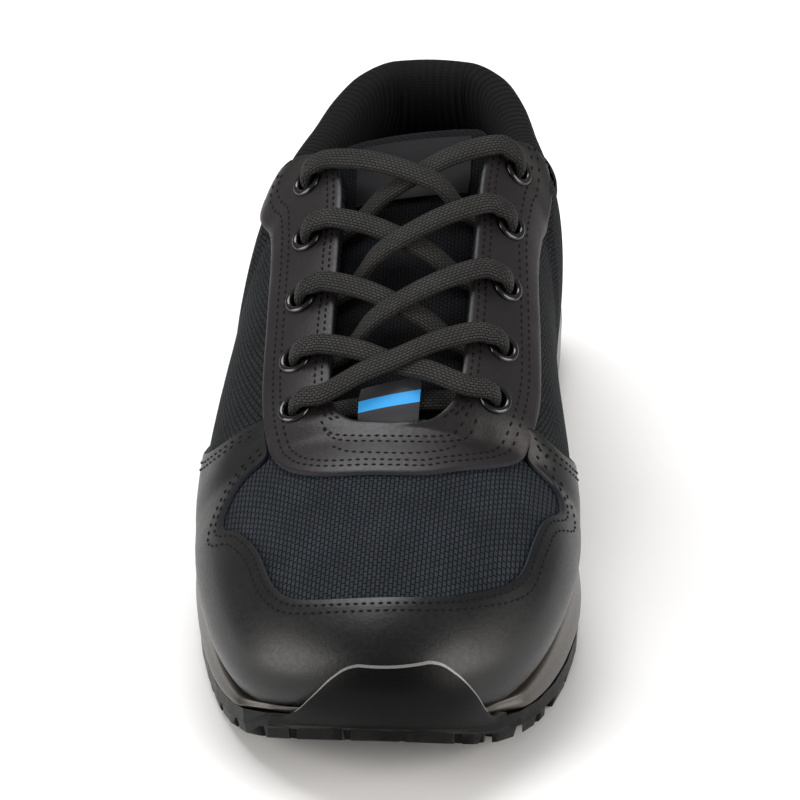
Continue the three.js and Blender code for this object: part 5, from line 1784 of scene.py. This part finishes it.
BAND_MIDDLE, BAND_HALF = 8.3, 1.9
tab_rubber, tree, surface = new_finish("tab_with_plain_band", 0.5, 0.45)
walked_mm = node(tree, "ShaderNodeSeparateXYZ", {0: in_mm(tree, "run")}).outputs["X"]
band = reckon(tree, "COMPARE", walked_mm, BAND_MIDDLE)
band.node.inputs[2].default_value = BAND_HALF
fleck = noise(tree, in_mm(tree), 2.0)
grey = blend_colours(tree, fleck, swatch("#26272a"), swatch("#303134"))
tree.links.new(blend_colours(tree, band, grey, swatch("#2f9fe8")), surface.inputs["Base Color"])
emboss(tree, surface, fleck, 0.04)
print("finishes", len(bpy.data.materials))

# %% Pieces and their finishes
settle(upper, [vamp_mesh, quarter_cloth, inner_cloth, inner_cloth], "textile", "upper")
settle(eyestay, [stay_leather, cut_edge], "leather", "eyestay")
settle(toe_cap, [cap_leather, cut_edge], "leather", "toe_cap")
settle(counter, [cap_leather, cut_edge], "leather", "heel_counter")
settle(stitches, thread, "leather")
settle(midsole, foam, "foam", "midsole")
settle(outsole, rubber, "rubber", "outsole")
settle(bumper, [rubber, rim_painted_highlight], "rubber")
settle(insole, footbed_cloth, "lining", "insole")
settle(collar_pad, pad_cloth, "lining", "collar_pad")
settle(tongue, tongue_knit, "textile", "tongue")
settle(label, patch_cloth, "label", "tongue_label")
settle(tag, tab_rubber, "label", "throat_tag")
settle(lace, lace_yarn, "lace", "lace_bar", *(f"lace_crossing_{k}" for k in range(1, EYELET_PAIRS)))
for ring, cad_name in eyelets:
    settle(ring, enamel, "enamel", cad_name)

# %% [markdown]
# ## Floor and light
# The shoe stands on a plain pale floor. Two large soft boxes at the sides draw the long soft highlights
# on its flanks, and a third overhead lights the vamp and the laces.

# %% Floor
start_clean()
bpy.ops.mesh.primitive_plane_add(size=12)
floor = bpy.context.object
floor.name = "studio_floor"
paper, tree, surface = new_finish("studio_paper", 0.9, 0.2)
paint(tree, surface, noise(tree, in_mm(tree), 0.02), "#f2f2f2", "#f6f6f6")
floor.data.materials.append(paper)


# %% Lights
def soft_box(name, place, size, power, colour="#ffffff"):
    """A square soft box that faces the shoe."""
    light = bpy.data.lights.new(name, "AREA")
    light.size, light.energy, light.color = size, power, swatch(colour)[:3]
    box = bpy.data.objects.new(name, light)
    bpy.context.collection.objects.link(box)
    box.location = place
    box.rotation_mode = "QUATERNION"
    box.rotation_quaternion = (Vector((0, 0, 0.06)) - Vector(place)).to_track_quat("-Z", "Y")


soft_box("left_box", (-1.45, -0.75, 0.5), 1.2, 27, "#fffaf4")
soft_box("right_box", (1.5, -0.6, 0.5), 1.2, 25, "#fffaf4")
soft_box("top_box", (-0.3, 0.5, 1.8), 1.2, 30)
bpy.context.scene.view_settings.view_transform = "Standard"
sky = bpy.data.worlds.new("studio")
bpy.context.scene.world = sky
sky.use_nodes = True
sky.node_tree.nodes["Background"].inputs["Color"].default_value = swatch("#f4f5f7")
sky.node_tree.nodes["Background"].inputs["Strength"].default_value = 0.34
